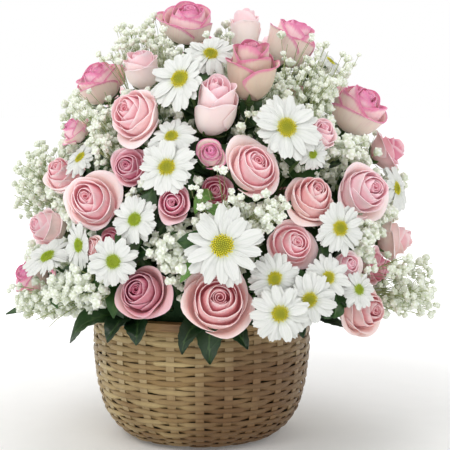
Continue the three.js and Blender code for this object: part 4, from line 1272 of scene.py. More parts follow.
@dataclass
class Stems:
    """Stems of roses and daisies, with the roses' hips and sepals."""

    dome: Dome
    sides: int = 7
    hip: tuple[tuple[float, float], ...] = ((-0.74, 0.09), (-0.66, 0.17), (-0.6, 0.2), (-0.54, 0.15))
    sepals: int = 5
    sepal_thick: float = 0.35

    def route_all(self) -> None:
        """Finds every head's stem, side stems after the stems that carry them."""
        by_name = {head.bloom.name: head for head in self.dome.heads}
        for head in self.dome.heads:
            if not head.bloom.on:
                _, points = stem_route(head.back, head.axis, 4)
                head.route = self.dome.clear_route(points, 2, head)
        for head in self.dome.heads:
            if head.bloom.on:
                host = by_name[head.bloom.on].route
                fork = host[1] * 0.55 + host[2] * 0.45
                span = np.linalg.norm(head.back - fork)
                outward = unit(head.back - fork)
                controls = (fork, fork + outward * span * 0.4, head.back - head.axis * span * 0.3, head.back)
                points = bezier(controls, np.linspace(0, 1, 5))
                head.route = self.dome.clear_route(points, 1, head)

    def build(self, finishes: "Finishes") -> None:
        """Builds the stems as two pieces."""
        for rose, name in ((True, "rose_stems"), (False, "daisy_stems")):
            batch = Batch()
            for order, head in enumerate(self.dome.heads):
                if head.rose == rose:
                    self.stem(batch, head, np.random.default_rng(STEM_SEED + order))
            make_piece(batch, name, 60, finishes.stem, "leaf")

    def stem(self, batch: Batch, head: Head, rng: Random) -> None:
        """Adds one stem, with its hip and sepals under a rose.

        Args:
            batch: where it goes.
            head: the head that it carries.
            rng: draws its small differences.
        """
        path = smooth_path(head.route, 4)
        along = np.linspace(0, 1, len(path))
        radii = head.stem * (1 - 0.25 * along) * (1 + 0.06 * np.sin(along * 23 + rng.uniform(0, 6)))
        batch.tube(path, radii, self.sides, rng.uniform(0.1, 0.9))
        if not head.rose:
            return
        turned = turn_to(head.axis)
        tall = head.bloom.tall
        heights, radii = np.array(self.hip).T
        line = polar(0.0, np.zeros(len(heights)), heights * tall)
        batch.tube(line * head.radius @ turned.T + head.centre, radii * head.radius, 9, 0.7)
        sheet = Sheet.of(2, 5)
        u, s = sheet.u, sheet.s
        for sepal in range(self.sepals):
            turn = (sepal + rng.normal(0, 0.06)) / self.sepals * TURN + head.spin * PHASES
            curl = rng.uniform(-0.1, 0.35)
            out = 0.12 + 0.52 * np.sin(s * 1.5) + 0.16 * curl * s
            up = (-0.60 + 0.30 * s ** 1.8 - 0.42 * curl * s ** 2) * tall - 0.02
            side = u * 0.10 * np.sin(math.pi * (0.12 + 0.88 * s) ** 0.8)
            placed = round_z(out, side, up, turn) * head.radius @ turned.T + head.centre
            thick_sheet(batch, placed, sheet, self.sepal_thick, rng.uniform(0.3, 1), 1 - np.abs(u))


def thick_sheet(batch: Batch, verts: Array, sheet: Sheet, thick: float, tone: float, rib: Array) -> None:
    """Adds a sheet closed with a thin second face along its own normals.

    Args:
        batch: where it goes.
        verts: the sheet's points, bent.
        sheet: the flat grid that they come from.
        thick: the thickness, in millimetres.
        tone: how light it is, from 0 to 1.
        rib: 1 at each point on a rib, 0 off it.
    """
    normals = sheet_normals(verts, sheet.quads)
    both = np.vstack([verts + normals * thick / 2, verts - normals * thick / 2])
    quads = np.vstack([sheet.quads, sheet.quads[:, ::-1] + len(verts), border_quads(sheet, len(verts))])
    batch.add(both, quads, tone=tone, rib=np.tile(rib, 2))


def sheet_normals(verts: Array, quads: Array) -> Array:
    """Normal of each point of a sheet, from the faces round it.

    Args:
        verts: its points, bent.
        quads: its faces.
    Returns:
        One unit vector for each point.
    """
    crossed = np.cross(verts[quads[:, 2]] - verts[quads[:, 0]], verts[quads[:, 3]] - verts[quads[:, 1]])
    normals = np.zeros_like(verts)
    for corner in range(4):
        np.add.at(normals, quads[:, corner], crossed)
    return unit(normals)


def border_quads(sheet: Sheet, lift: int) -> Array:
    """Faces that join a sheet's border to its copy.

    Args:
        sheet: the flat grid.
        lift: how many places later the copy's points come.
    Returns:
        One row of four point numbers for each face.
    """
    edges = np.vstack([sheet.quads[:, [k, (k + 1) % 4]] for k in range(4)])
    keys = {tuple(edge) for edge in edges.tolist()}
    border = np.array([edge for edge in edges.tolist() if (edge[1], edge[0]) not in keys])
    return np.stack([border[:, 1], border[:, 0], border[:, 0] + lift, border[:, 1] + lift], axis=1)


# ------------------------------------------------------------------ baby's breath
@dataclass(frozen=True)
class Spray:
    """A spray of baby's breath: where its middle stands and how wide it spreads, in degrees."""

    name: str
    az: float
    el: float
    reach: float
    spread: float


SPRAYS = (
    Spray("breath_crown_left", -60, 74, 252, 16),
    Spray("breath_crown_right", 70, 66, 256, 17),
    Spray("breath_upper_left", -52, 56, 218, 20),
    Spray("breath_far_left", -88, 34, 206, 20),
    Spray("breath_centre", 10, 36, 196, 15),
    Spray("breath_low_left", -58, 6, 172, 22),
    Spray("breath_right", 74, 12, 200, 22),
    Spray("breath_back_left", 232, 38, 204, 26),
    Spray("breath_back_right", 134, 40, 208, 26),
)


@dataclass
class BabysBreath:
    """Sprays of small double florets on thin branching twigs, in the room that the heads leave."""

    dome: Dome
    anchors: int = 8
    tries: int = 60
    around: int = 78
    cluster: float = 16.0
    floret: float = 4.1
    spacing: float = 6.2
    seeds: int = 60000
    depth: float = 48.0
    bunch: int = 11
    bunch_reach: float = 26.0
    spray_sizes: tuple[float, float] = (0.6, 1.1)
    bunch_sizes: tuple[float, float] = (0.85, 1.3)
    placed: list[Array] = field(default_factory=list)
    twigs: Batch = field(default_factory=Batch)
    shapes: list[tuple[Array, Array, Array]] = field(default_factory=list)

    def build(self, finishes: "Finishes") -> None:
        """Builds each spray's florets, those that fill the dome and all the twigs.

        Args:
            finishes: every material.
        """
        self.shapes = [self.pompom(np.random.default_rng(POMPOM_SEED + k)) for k in range(6)]
        forks = []
        for order, spray in enumerate(SPRAYS):
            florets = Batch()
            forks.append(self.spray(spray, florets, np.random.default_rng(SPRAY_SEED + order)))
            make_piece(florets, f"{spray.name}_florets", 55, finishes.floret, "breath_floret", spray.name)
        for name, front in (("dome_florets_front", True), ("dome_florets_back", False)):
            florets = Batch()
            rng = np.random.default_rng(BUNCH_SEED + front)
            self.bunches(self.open_places(front, rng), np.array(forks), florets, rng)
            make_piece(florets, name, 55, finishes.floret, "breath_floret")
        make_piece(self.twigs, "breath_twigs", 60, finishes.twig, "leaf")

    def spray(self, spray: Spray, florets: Batch, rng: Random) -> Array:
        """Adds one spray: a stem, main twigs to its anchors and side twigs with the florets.

        Args:
            spray: where it stands.
            florets: where its florets go.
            rng: draws its small differences.
        Returns:
            Where its stem forks.
        """
        outward = direction(spray.az, spray.el)
        along, route = stem_route(DOME_CENTRE + outward * spray.reach, outward, 1)
        fork = route[1] + along * 24
        self.twigs.tube(np.array([route[0], route[1], fork]), [1.3, 1.2, 0.9], 6, 0.5)
        for number, anchor in enumerate(self.anchor_points(spray, fork)):
            start = fork - along * (1.3 + 0.9 * number)
            bend = start + (anchor - start) * 0.55 + along * 6 + rng.normal(0, 1.5, 3)
            branch = bezier((start, bend, anchor), np.linspace(0, 1, 9))
            self.twigs.tube(branch, np.linspace(0.6, 0.3, 9), 4, rng.uniform(0.3, 0.8))
            self.cluster_along(branch, outward, florets, rng)
        return fork

    def anchor_points(self, spray: Spray, fork: Array) -> list[Array]:
        """The clear places where a spray's main twigs end.

        Args:
            spray: where it stands.
            fork: where its stem forks.
        Returns:
            Points, the most upright twig's first.
        """
        turned = turn_to(direction(spray.az, spray.el))
        found: list[Array] = []
        for i in range(self.tries):
            tilt = math.radians(spray.spread * math.sqrt((i + 0.5) / self.tries))
            local = polar(math.sin(tilt), math.radians(i * GOLDEN), math.cos(tilt))
            long = spray.reach * (1 + 0.035 * math.sin(i * 2.4))
            point = DOME_CENTRE + turned @ local * long
            spaced = all(np.linalg.norm(point - other) > 1.5 * self.spacing - 0.1 for other in found)
            line = np.linspace(fork, point, 12)
            if spaced and self.dome.clearance(point[None])[0] > 5 and self.dome.clearance(line).min() > 1.5:
                found.append(point)
            if len(found) == self.anchors:
                break
        return found

    def cluster_along(self, branch: Array, outward: Array, florets: Batch, rng: Random) -> None:
        """Sets florets on side twigs round the outer half of a branch.

        Args:
            branch: the branch's nine points.
            outward: the way its spray looks.
            florets: where the florets go.
            rng: draws their places.
        """
        steps = 4 + rng.uniform(0.0, 1.0, self.around) ** 0.8 * 4
        near = np.stack([np.interp(steps, np.arange(9), branch[:, axis]) for axis in range(3)], axis=1)
        ways = unit(rng.normal(0, 1, (len(steps), 3)))
        offsets = ways * (self.cluster * rng.uniform(0.1, 1, (len(steps), 1)) ** 0.5)
        points = near + offsets + outward * 2
        room = self.dome.clearance(points) > self.floret - 0.8
        room &= self.keeps_faces_free(points, rng)
        for point, free, step in zip(points, room, steps):
            if free and self.fits(point):
                self.placed.append(point)
                self.twig(branch[max(int(step) - 1, 3)], point, florets, self.spray_sizes, rng)

    def twig(self, start: Array, point: Array, florets: Batch, sizes: tuple[float, float],
             rng: Random) -> None:
        """Adds a floret and the thin twig that carries it.

        Args:
            start: where the twig leaves its branch.
            point: the floret's middle.
            florets: where the floret goes.
            sizes: its least and greatest size, as shares of a floret's.
            rng: draws its small differences.
        """
        bend = start * 0.4 + point * 0.6 + rng.normal(0, 0.08, 3) * np.linalg.norm(point - start)
        self.twigs.tube(bezier((start, bend, point), np.linspace(0, 1, 4)), 0.24, 3, rng.uniform(0.2, 0.9))
        verts, tris, crease = self.shapes[int(rng.integers(len(self.shapes)))]
        spun = round_z(*verts.T, rng.uniform(0, PHASES)) * self.floret * rng.uniform(*sizes)
        placed = spun @ turn_to(unit(point - bend)).T + point
        florets.add(placed, None, tris, crease=crease, tone=rng.uniform(0, 1))

    def open_places(self, front: bool, rng: Random) -> Array:
        """Places among the blooms from which the way outwards, or to the viewer, is open.

        Args:
            front: whether they are in the front half.
            rng: draws their depths.
        Returns:
            Points, the outermost first.
        """
        ways = probes(self.seeds)
        ways = ways[(ways[:, 2] > -0.12) & ((ways[:, 1] < 0) == front)]
        reaches = self.dome.surface(DOME_CENTRE + ways) + rng.uniform(-1, 0.2, len(ways)) * self.depth
        points = DOME_CENTRE + ways * reaches[:, None]
        points = points[self.dome.clearance(points) > self.floret - 1.1]
        points = points[self.keeps_faces_free(points, rng)]
        seen = self.way_out(points, unit(points - DOME_CENTRE))
        if front:
            seen |= self.way_out(points, unit(np.array(CAMERA_PLACE) / MM - points))
        points = points[seen]
        waves = np.array([[0.11, 0.05, -0.08], [-0.07, 0.12, 0.06], [0.05, -0.09, 0.11]])
        patches = np.sin(points @ waves).sum(1)
        points = points[patches > rng.uniform(-5.0, 0.2, len(points))]
        return points[np.argsort(-np.linalg.norm(points - DOME_CENTRE, axis=1))]

    def way_out(self, points: Array, ahead: Array) -> Array:
        """Which points have nothing before them, each in its own direction."""
        return np.min([self.dome.clearance(points + ahead * step) for step in range(9, 46, 9)], axis=0) > 0.5

    def keeps_faces_free(self, points: Array, rng: Random) -> Array:
        """Which places don't stand before a bloom's face, but for a few before the roses.

        Args:
            points: one row each.
            rng: draws those few.
        Returns:
            One truth value for each point.
        """
        viewer = np.array(CAMERA_PLACE) / MM
        allowed = np.ones(len(points))
        for head in self.dome.heads:
            offset = points - head.centre
            share, stray = (0.74, 0.05) if head.rose else (0.66, 0.0)
            for ahead, depth in ((head.axis, 60), (unit(viewer - head.centre), 95)):
                along = offset @ ahead
                aside = np.linalg.norm(offset - along[:, None] * ahead, axis=1)
                before = (along > 0) & (along < depth) & (aside < head.radius * share)
                allowed[before] = np.minimum(allowed[before], stray)
        return rng.random(len(points)) < allowed

    def bunches(self, points: Array, forks: Array, florets: Batch, rng: Random) -> None:
        """Gathers places in bunches, each on a branch from the nearest spray's fork.

        Args:
            points: the open places, the outermost first.
            forks: where the sprays' stems fork.
            florets: where the florets go.
            rng: draws their small differences.
        """
        chosen = []
        for point in points:
            if self.fits(point):
                self.placed.append(point)
                chosen.append(point)
        left = np.array(chosen)
        while len(left):
            order = np.argsort(np.linalg.norm(left - left[0], axis=1))
            group, left = left[order[:self.bunch]], left[order[self.bunch:]]
            group = group[np.linalg.norm(group - group[0], axis=1) < self.bunch_reach]
            middle = group.mean(0)
            inward = unit(DOME_CENTRE - middle)
            hub = middle + inward * 15
            fork = forks[np.argmax(unit(forks - DOME_CENTRE) @ -inward)]
            bend = hub + (fork - hub) * 0.4 - inward * 4
            branch = bezier((fork, bend, hub), np.linspace(0, 1, 6))
            self.twigs.tube(branch, np.linspace(0.6, 0.35, 6), 4, rng.uniform(0.3, 0.8))
            for point in group:
                self.twig(hub, point, florets, self.bunch_sizes, rng)

    def fits(self, point: Array) -> bool:
        """Whether a floret may stand there.

        Args:
            point: its middle.
        Returns:
            Whether it keeps off the others, the basket and the part's own box.
        """
        if self.placed and np.linalg.norm(np.array(self.placed) - point, axis=1).min() < self.spacing:
            return False
        low, high = (np.array(corner) / MM for corner in CAD_BOX)
        inside = bool((point > low + self.floret).all() and (point < high - self.floret).all())
        return inside and point[2] > DOME_CENTRE[2] + 22 * smoothstep(60, 105, abs(point[1]))

    @staticmethod
    def pompom(rng: Random) -> tuple[Array, Array, Array]:
        """A ruffled ball of small petals on +Z, modelled once.

        Args:
            rng: draws its ruffles.
        Returns:
            Its points, its faces and how much painted crease shade each point takes: 1 in a crease, 0 on a
            tip, and more towards the back.
        """
        bpy.ops.mesh.primitive_ico_sphere_add(subdivisions=2, radius=1)
        ball = bpy.context.object
        verts = np.array([vertex.co[:] for vertex in ball.data.vertices])
        tris = np.array([tuple(face.vertices) for face in ball.data.polygons])
        bpy.data.meshes.remove(ball.data)
        tip = np.bincount(tris.ravel(), minlength=len(verts)) == 5
        size = np.where(tip, rng.uniform(0.98, 1.18, len(verts)), rng.uniform(0.66, 0.98, len(verts)))
        shaped = verts * size[:, None] + rng.normal(0, 0.07, verts.shape)
        shaped[verts[:, 2] < -0.2, :2] *= 0.75
        shaped[:, 2] *= 0.85
        # Weights for the painted crease shade: 1 in a crease, 0 on a tip, more towards the back.
        return shaped, tris, np.where(tip, 0.0, 1.0) + np.clip(-verts[:, 2], 0, 1) * 0.6


# ------------------------------------------------------------------ leaves
@dataclass(frozen=True)
class LeafPlace:
    """A hanging leaf, as in the part's source: its bend, its tip, its width and the way it faces."""

    bend: tuple[float, float, float]
    tip: tuple[float, float, float]
    width: float
    lean: tuple[float, float, float] | None = None

    @property
    def upward(self) -> Array:
        """The way its upper face looks: outwards and up, unless it leans."""
        return unit(np.array(self.lean or (self.bend[0] * 0.008, self.bend[1] * 0.008, 0.8)))


LEAFY_STEMS = {
    "leaves_front": (10, (LeafPlace((6, -120, 127), (9, -113, 87), 25),
                          LeafPlace((-12, -118, 127), (-14, -115, 96), 18),
                          LeafPlace((28, -116, 127), (40, -114, 100), 20))),
    "leaves_front_left": (-38, (LeafPlace((-68, -100, 126), (-78, -104, 104), 23),
                                LeafPlace((-50, -108, 124), (-53, -112, 103), 22),
                                LeafPlace((-102, -84, 127), (-113, -74, 97), 24))),
    "leaves_left": (-96, (LeafPlace((-128, -12, 132), (-178, -22, 113), 15, (0, -1, 0.35)),
                          LeafPlace((-114, 14, 134), (-130, 24, 106), 20, (0, -1, 0.35)))),
    "leaves_right": (42, (LeafPlace((84, -88, 124), (88, -96, 106), 20),
                          LeafPlace((108, -62, 124), (128, -66, 108), 21))),
    "leaves_back": (165, (LeafPlace((32, 118, 129), (36, 122, 98), 20),
                          LeafPlace((0, 120, 129), (-10, 124, 100), 19),
                          LeafPlace((62, 106, 129), (78, 110, 102), 20))),
}

# Young leaves of a brighter green among the front blooms: foot, bend and tip, and the width.
FRESH_LEAVES = (
    ((22, -128, 196), (4, -150, 190), (-14, -152, 162), 15),
    ((30, -120, 208), (20, -146, 218), (4, -150, 222), 12),
    ((14, -118, 226), (2, -138, 236), (-2, -146, 216), 11),
)


@dataclass
class Greenery:
    """The leafy stems that hang over the rim, and the leaves that fill the dome behind the blooms."""

    dome: Dome
    thick: float = 0.6
    fillers: int = 190
    tries: int = 8
    stem_shares: tuple[float, ...] = (0.34, 0.44, 0.54, 0.62, 0.7, 0.78, 0.85, 0.92)

    def build(self, finishes: "Finishes") -> None:
        """Builds a piece for each leafy stem, one for the leaves inside and one for the young ones.

        Args:
            finishes: every material.
        """
        for order, (name, (az, leaves)) in enumerate(LEAFY_STEMS.items()):
            batch = Batch()
            self.hang(batch, az, leaves, np.random.default_rng(HANGING_SEED + order))
            make_piece(batch, f"{name}_blades", 50, finishes.leaf, "leaf", name)
        batch = Batch()
        self.fill(batch, np.random.default_rng(FILLER_SEED))
        self.on_stems(batch, np.random.default_rng(STEM_LEAF_SEED))
        make_piece(batch, "dome_leaves", 50, finishes.leaf, "leaf")
        batch = Batch()
        rng = np.random.default_rng(FRESH_SEED)
        for *controls, width in FRESH_LEAVES:
            self.leaf(batch, np.array(controls), width, rng, unit(np.array([0.0, -1.0, 0.5])), 0.6)
        make_piece(batch, "fresh_leaves", 50, finishes.fresh, "leaf")

    def hang(self, batch: Batch, az: float, leaves: Iterable[LeafPlace], rng: Random) -> None:
        """Adds one leafy stem that comes over the rim.

        Args:
            batch: where it goes.
            az: its azimuth, in degrees.
            leaves: its leaves.
            rng: draws their small differences.
        """
        outward = direction(az, 0)
        along, route = stem_route(outward * RIM_OUTSIDE + np.array([0, 0, RIM_TOP]), outward, 1, LEAF_SLOPE)
        knot = route[1] + along * 3
        batch.tube(np.array([route[0], route[1], knot]), [1.5, 1.4, 1.2], 7, 0.4)
        for number, place in enumerate(leaves):
            controls = np.array([knot - along * (1 + 1.5 * number), place.bend, place.tip])
            self.leaf(batch, controls, place.width, rng, place.upward, rng.uniform(0.05, 0.4))

    def leaf(self, batch: Batch, controls: Iterable[Array], width: float, rng: Random, upward: Array,
             tone: float, fine: bool = True) -> None:
        """Adds a pointed leaf with a sunk midrib, side veins and a toothed edge.

        Args:
            batch: where it goes.
            controls: its foot, bend and tip.
            width: its greatest width, in millimetres.
            rng: draws its small differences.
            upward: the way its upper face looks.
            tone: how light it is, from 0 to 1.
            fine: whether it has veins and teeth.
        """
        sheet = Sheet.of(8, 16) if fine else Sheet.of(4, 7)
        u, s = sheet.u, sheet.s
        aside = np.abs(u)
        tangent = unit(bezier(controls, np.clip(s + 0.02, 0, 1)) - bezier(controls, np.clip(s - 0.02, 0, 1)))
        side = unit(np.cross(tangent, upward))
        half = width / 2 * np.sin(math.pi * np.clip(s, 0, 1) ** 0.85) ** 0.8 + 0.35
        veins = 0.5 + 0.5 * np.cos((s * 9 - aside * 1.6) * TURN)
        wave = np.sin(s * 9 + rng.uniform(0, 6)) * aside ** 2 * 0.07 * width
        fold = 0.28 * aside * half + wave - 0.35 * (1 - aside) ** 6
        if fine:
            fold = fold - 0.22 * veins * (aside > 0.2)
            half = half * (1 + 0.05 * np.cos(s * 16 * math.pi) * (aside > 0.9))
        verts = bezier(controls, s) + side * (u * half)[:, None] + np.cross(side, tangent) * fold[:, None]
        rib = np.maximum((aside < 0.13) * 1.0, 0.75 * (veins > 0.9) * (aside < 0.92))
        thick_sheet(batch, verts, sheet, self.thick, tone, rib)

    def fill(self, batch: Batch, rng: Random) -> None:
        """Adds leaves between foam and blooms, each as long as the room there allows."""
        for number in range(self.fillers):
            share = (number + 0.5) / self.fillers
            el = math.degrees(math.asin(1 - share * 0.97)) + rng.normal(0, 3)
            az = number * GOLDEN + rng.normal(0, 6)
            outward = direction(az, max(el, 2))
            along = leaving_direction(DOME_CENTRE + outward * 150, 14)
            foot = STEM_FOCUS + along * (foam_reach(along) - 3)
            side = unit(np.cross(outward, rng.normal(0, 1, 3)))
            long = rng.uniform(46, 74)
            while long > 24:
                tip = foot + (along * 0.8 + side * rng.uniform(0.2, 0.75)) * long
                bend = foot + along * long * 0.6
                line = bezier((foot, bend, tip), np.linspace(0.2, 1, 8))
                if self.free(line, 1.5):
                    upward = unit(outward + 0.6 * side + np.array([0, 0, 0.3]))
                    width = rng.uniform(15, 23)
                    self.leaf(batch, (foot, bend, tip), width, rng, upward, rng.uniform(0, 0.7), False)
                    break
                long -= 7

    def free(self, line: Array, room: float) -> bool:
        """Whether a leaf along this line keeps off the heads and the rim and stays behind the blooms."""
        over_rim = (np.hypot(line[:, 0], line[:, 1]) > RIM_ZONE[0]) & (line[:, 2] < RIM_ROOM)
        behind = np.linalg.norm(line - DOME_CENTRE, axis=1) < self.dome.surface(line) - 5
        return bool(self.dome.clearance(line).min() > room and not over_rim.any() and behind.all())

    def on_stems(self, batch: Batch, rng: Random) -> None:
        """Adds leaves along the stems of the blooms, where there is room."""
        for head in self.dome.heads:
            path = smooth_path(head.route, 4)
            for share in self.stem_shares:
                at = path[int(share * (len(path) - 1))]
                outward = unit(at - DOME_CENTRE)
                for _ in range(self.tries):
                    side = unit(np.cross(outward, rng.normal(0, 1, 3)))
                    long = rng.uniform(32, 56)
                    bend = at + (outward * 0.55 + side * 0.6) * long * 0.5
                    tip = at + (outward * rng.uniform(0.2, 0.9) + side) * long * 0.8
                    line = bezier((at, bend, tip), np.linspace(0.35, 1, 6))
                    if self.free(line, 2.0):
                        self.leaf(batch, (at, bend, tip), long * rng.uniform(0.42, 0.56), rng,
                                  unit(outward + 0.5 * side), rng.uniform(0.2, 1.0), False)
                        break


# ------------------------------------------------------------------ basket
# Corners of a weaver's cross-section: its place across and its height over the weaver, as shares of the
# weaver's width and thickness, and how much painted shade it takes near the weaver's edges.
WEAVER_SECTION = ((-0.5, -0.2, 1.0), (-0.40, -0.5, 1.0), (0.40, -0.5, 1.0), (0.5, -0.2, 1.0),
                  (0.49, 0.12, 0.9), (0.30, 0.42, 0.3), (0.0, 0.52, 0.0), (-0.30, 0.42, 0.3),
                  (-0.49, 0.12, 0.9))
# Corners of a stake's cross-section, in the same way.
STAKE_SECTION = ((-0.5, 0.3), (-0.4, 0.5), (0.4, 0.5), (0.5, 0.3), (0.5, -0.5), (-0.5, -0.5))


@dataclass
class WovenBasket:
    """The wall and floor: flat weavers passing over and under upright splints."""

    stakes: int = 24
    wall_rows: int = 30
    floor_rows: int = 13
    weaver_high: float = 4.95
    weaver_thick: float = 1.5
    stake_wide: float = 7.4
    stake_thick: float = 0.8
    stake_steps: int = 46
    samples: int = 240

    def path(self) -> tuple[Array, Array]:
        """The basket's section from the floor's middle to the rim.

        Returns:
            Its points (radius, height) and how far along it each stands.
        """
        points = np.array([(0.5, 1.9), (53, 1.9), *BASKET_OUTLINE], float)
        points[2] = (59.5, 2.4)
        lengths = np.concatenate([[0], np.cumsum(np.linalg.norm(np.diff(points, axis=0), axis=1))])
        return points, lengths

    def read(self, where: Array) -> Array:
        """Points (radius, height) of the section at lengths along it."""
        points, lengths = self.path()
        return np.stack([np.interp(where, lengths, points[:, k]) for k in range(2)], axis=1)

    def section(self, at: Array) -> tuple[Array, Array]:
        """Points and outward normals of the section at lengths along it, its corners eased."""
        here = (self.read(at - 3) + self.read(at) * 2 + self.read(at + 3)) / 4
        ahead = unit(self.read(at + 4) - self.read(at - 4))
        return here, np.stack([ahead[:, 1], -ahead[:, 0]], axis=1)

    def wave(self, turn: Array, row: int) -> Array:
        """How far out a weaver stands, from -1 behind a stake to 1 over it."""
        raw = np.cos(turn * self.stakes / 2 + (row % 2) * math.pi)
        return np.tanh(1.9 * (raw + 0.28)) / math.tanh(1.9)

    def weaver(self, batch: Batch, row: int, at: float, high: float, rng: Random) -> None:
        """Adds one ring of a weaver.

        Args:
            batch: where it goes.
            row: its number, from the floor's middle.
            at: its place along the section.
            high: its width, which stands upright on the wall.
            rng: draws its small differences.
        """
        turn = np.arange(self.samples) * TURN / self.samples
        here, normal = self.section(np.array([at]))
        (radius, height), (out_r, out_z) = here[0], normal[0]
        relief = (self.weaver_thick + self.stake_thick) / 2.2
        over = self.wave(turn, row)
        slow = sum(rng.normal(0, 0.2) * np.sin(turn * k + rng.uniform(0, PHASES)) for k in range(2, 9))
        drift = sum(rng.normal(0, 0.12) * np.sin(turn * k + rng.uniform(0, PHASES)) for k in range(2, 17))
        offset = -0.35 + relief * (over - 0.85) + 0.25 * slow
        tilt = 0.10 * np.sin(turn * self.stakes / 2 + rng.uniform(0, PHASES)) + rng.normal(0, 0.04)
        high = high * (0.93 + 0.13 * over + 0.06 * slow)
        rings = []
        for up, out, _ in WEAVER_SECTION:
            stand = offset + out * self.weaver_thick + up * high * tilt
            rise = up * high + drift
            reach = radius + stand * out_r - rise * out_z
            rings.append(polar(reach, turn, height + stand * out_z + rise * out_r))
        verts = np.stack(rings, axis=1).reshape(-1, 3)
        sides = len(WEAVER_SECTION)
        quads = ring_quads(self.samples + 1, sides)[:, [0, 3, 2, 1]] % len(verts)
        across, _, edge = np.tile(np.array(WEAVER_SECTION).T, self.samples)
        change = rng.uniform(0, TURN)
        first = (turn - change) % TURN < rng.uniform(2, 5)
        tones = np.where(first, rng.uniform(0, 1), rng.uniform(0, 1))
        batch.add(verts, quads, tone=np.repeat(tones, sides), edge=edge, across=across,
                  along=np.repeat(turn * radius * MM, sides) + row * 3.7)

    def stake(self, batch: Batch, number: int, rng: Random) -> None:
        """Adds one upright splint, which starts near the floor's middle.

        Args:
            batch: where it goes.
            number: its number round the basket.
            rng: draws its small differences.
        """
        steps, sides = self.stake_steps, len(STAKE_SECTION)
        _, lengths = self.path()
        at = np.linspace(9, lengths[-1] - 1, steps)
        here, normal = self.section(at)
        wide = np.minimum(self.stake_wide, here[:, 0] * TURN / self.stakes * 0.8)
        lean = rng.normal(0, 0.12)
        rings = []
        for side, out in STAKE_SECTION:
            radius, height = (here + (-0.85 + out * self.stake_thick) * normal).T
            shift = side * wide + lean * (at - at[0]) / 30
            rings.append(np.stack([radius, shift, height], axis=1))
        verts = round_z(*np.stack(rings, axis=1).reshape(-1, 3).T, number / self.stakes * TURN)
        quads = ring_quads(steps, sides)[:, ::-1]
        step = np.arange(1, sides - 1)
        low = np.stack([np.zeros(sides - 2, int), step, step + 1], axis=1)
        top = low[:, ::-1] + (steps - 1) * sides
        batch.add(verts, quads, np.vstack([low, top]), tone=rng.uniform(0.3, 1),
                  along=np.repeat(at * MM, sides) + number * 1.3,
                  across=np.tile([side for side, _ in STAKE_SECTION], steps), edge=0.0)

    def build(self, finishes: "Finishes") -> None:
        """Builds weavers and stakes and joins them as one piece.

        Args:
            finishes: every material.
        """
        weave, posts = Batch(), Batch()
        _, lengths = self.path()
        edge = lengths[2]
        rng = np.random.default_rng(WEAVE_SEED)
        for row in range(self.floor_rows):
            at = 8 + (edge - 10) * row / self.floor_rows
            self.weaver(weave, row + 1, at, 4.1, rng)
        pitch = (lengths[-1] - edge - 0.5) / self.wall_rows
        for row in range(self.wall_rows):
            high = self.weaver_high * rng.uniform(0.84, 1.06)
            self.weaver(weave, row + self.floor_rows + 1, edge + pitch * (row + 0.5), high, rng)
        for number in range(self.stakes):
            self.stake(posts, number, rng)
        piece = weave.build("basket_weavers")
        stakes = posts.build("basket_stakes")
        for part, finish in ((piece, finishes.weaver), (stakes, finishes.stake)):
            smooth(part, 45)
            part.data.materials.append(finish)
        join(piece, stakes)
        settle(piece, [], "splint", "basket_weave")


def spun(name: str, outline: list[tuple[float, float]], steps: int) -> Piece:
    """Spins a closed outline round Z.

    Args:
        name: the object's name.
        outline: (radius, height) points in millimetres.
        steps: how many steps make the full turn.
    Returns:
        The object, active.
    """
    mesh = bpy.data.meshes.new(name)
    points = [(radius * MM, 0.0, height * MM) for radius, height in outline]
    mesh.from_pydata(points, [(k, (k + 1) % len(points)) for k in range(len(points))], [])
    piece = bpy.data.objects.new(name, mesh)
    bpy.context.scene.collection.objects.link(piece)
    make_active(piece)
    bpy.ops.object.mode_set(mode="EDIT")
    bpy.ops.mesh.select_all(action="SELECT")
    bpy.ops.mesh.spin(steps=steps, angle=TURN, center=(0, 0, 0), axis=(0, 0, 1))
    bpy.ops.mesh.select_all(action="SELECT")
    bpy.ops.mesh.remove_doubles(threshold=0.00002)
    bpy.ops.mesh.normals_make_consistent(inside=False)
    bpy.ops.object.mode_set(mode="OBJECT")
    return piece


def band(inner: float, outer: float, low: float, high: float, bevel: float) -> list[tuple[float, float]]:
    """Outline of a flat band with bevelled corners."""
    return [(inner + bevel, low), (outer - bevel, low), (outer, low + bevel), (outer, high - bevel),
            (outer - bevel, high), (inner + bevel, high), (inner, high - bevel), (inner, low + bevel)]


@dataclass
class Rim:
    """The basket's hoop: an outer and an inner flat band with a round reed between them."""

    outer_thick: float = 2.6
    inner_thick: float = 2.2
    reed_middle: tuple[float, float] = (98.9, 117.4)
    reed_radius: float = 2.3
    reed_sides: int = 10
    steps: int = 128

    def build(self, finishes: "Finishes") -> None:
        """Spins the three hoops and joins them.

        Args:
            finishes: every material.
        """
        outer_band = band(RIM_OUTSIDE - self.outer_thick, RIM_OUTSIDE, RIM_BOTTOM, RIM_TOP - 1.2, 0.6)
        inner_band = band(RIM_INSIDE, RIM_INSIDE + self.inner_thick, RIM_BOTTOM, RIM_TOP - 1.6, 0.5)
        turns = [k * TURN / self.reed_sides for k in range(self.reed_sides)]
        (radius, height), reach = self.reed_middle, self.reed_radius
        reed_ring = [(radius + reach * math.cos(turn), height + reach * math.sin(turn)) for turn in turns]
        outer = spun("basket_hoop", outer_band, self.steps)
        inner = spun("inner_hoop", inner_band, self.steps)
        reed = spun("reed", reed_ring, self.steps)
        for part in (outer, inner, reed):
            smooth(part, 40)
        join(outer, inner, reed)
        settle(outer, [finishes.rim], "rim_splint", "basket_rim")


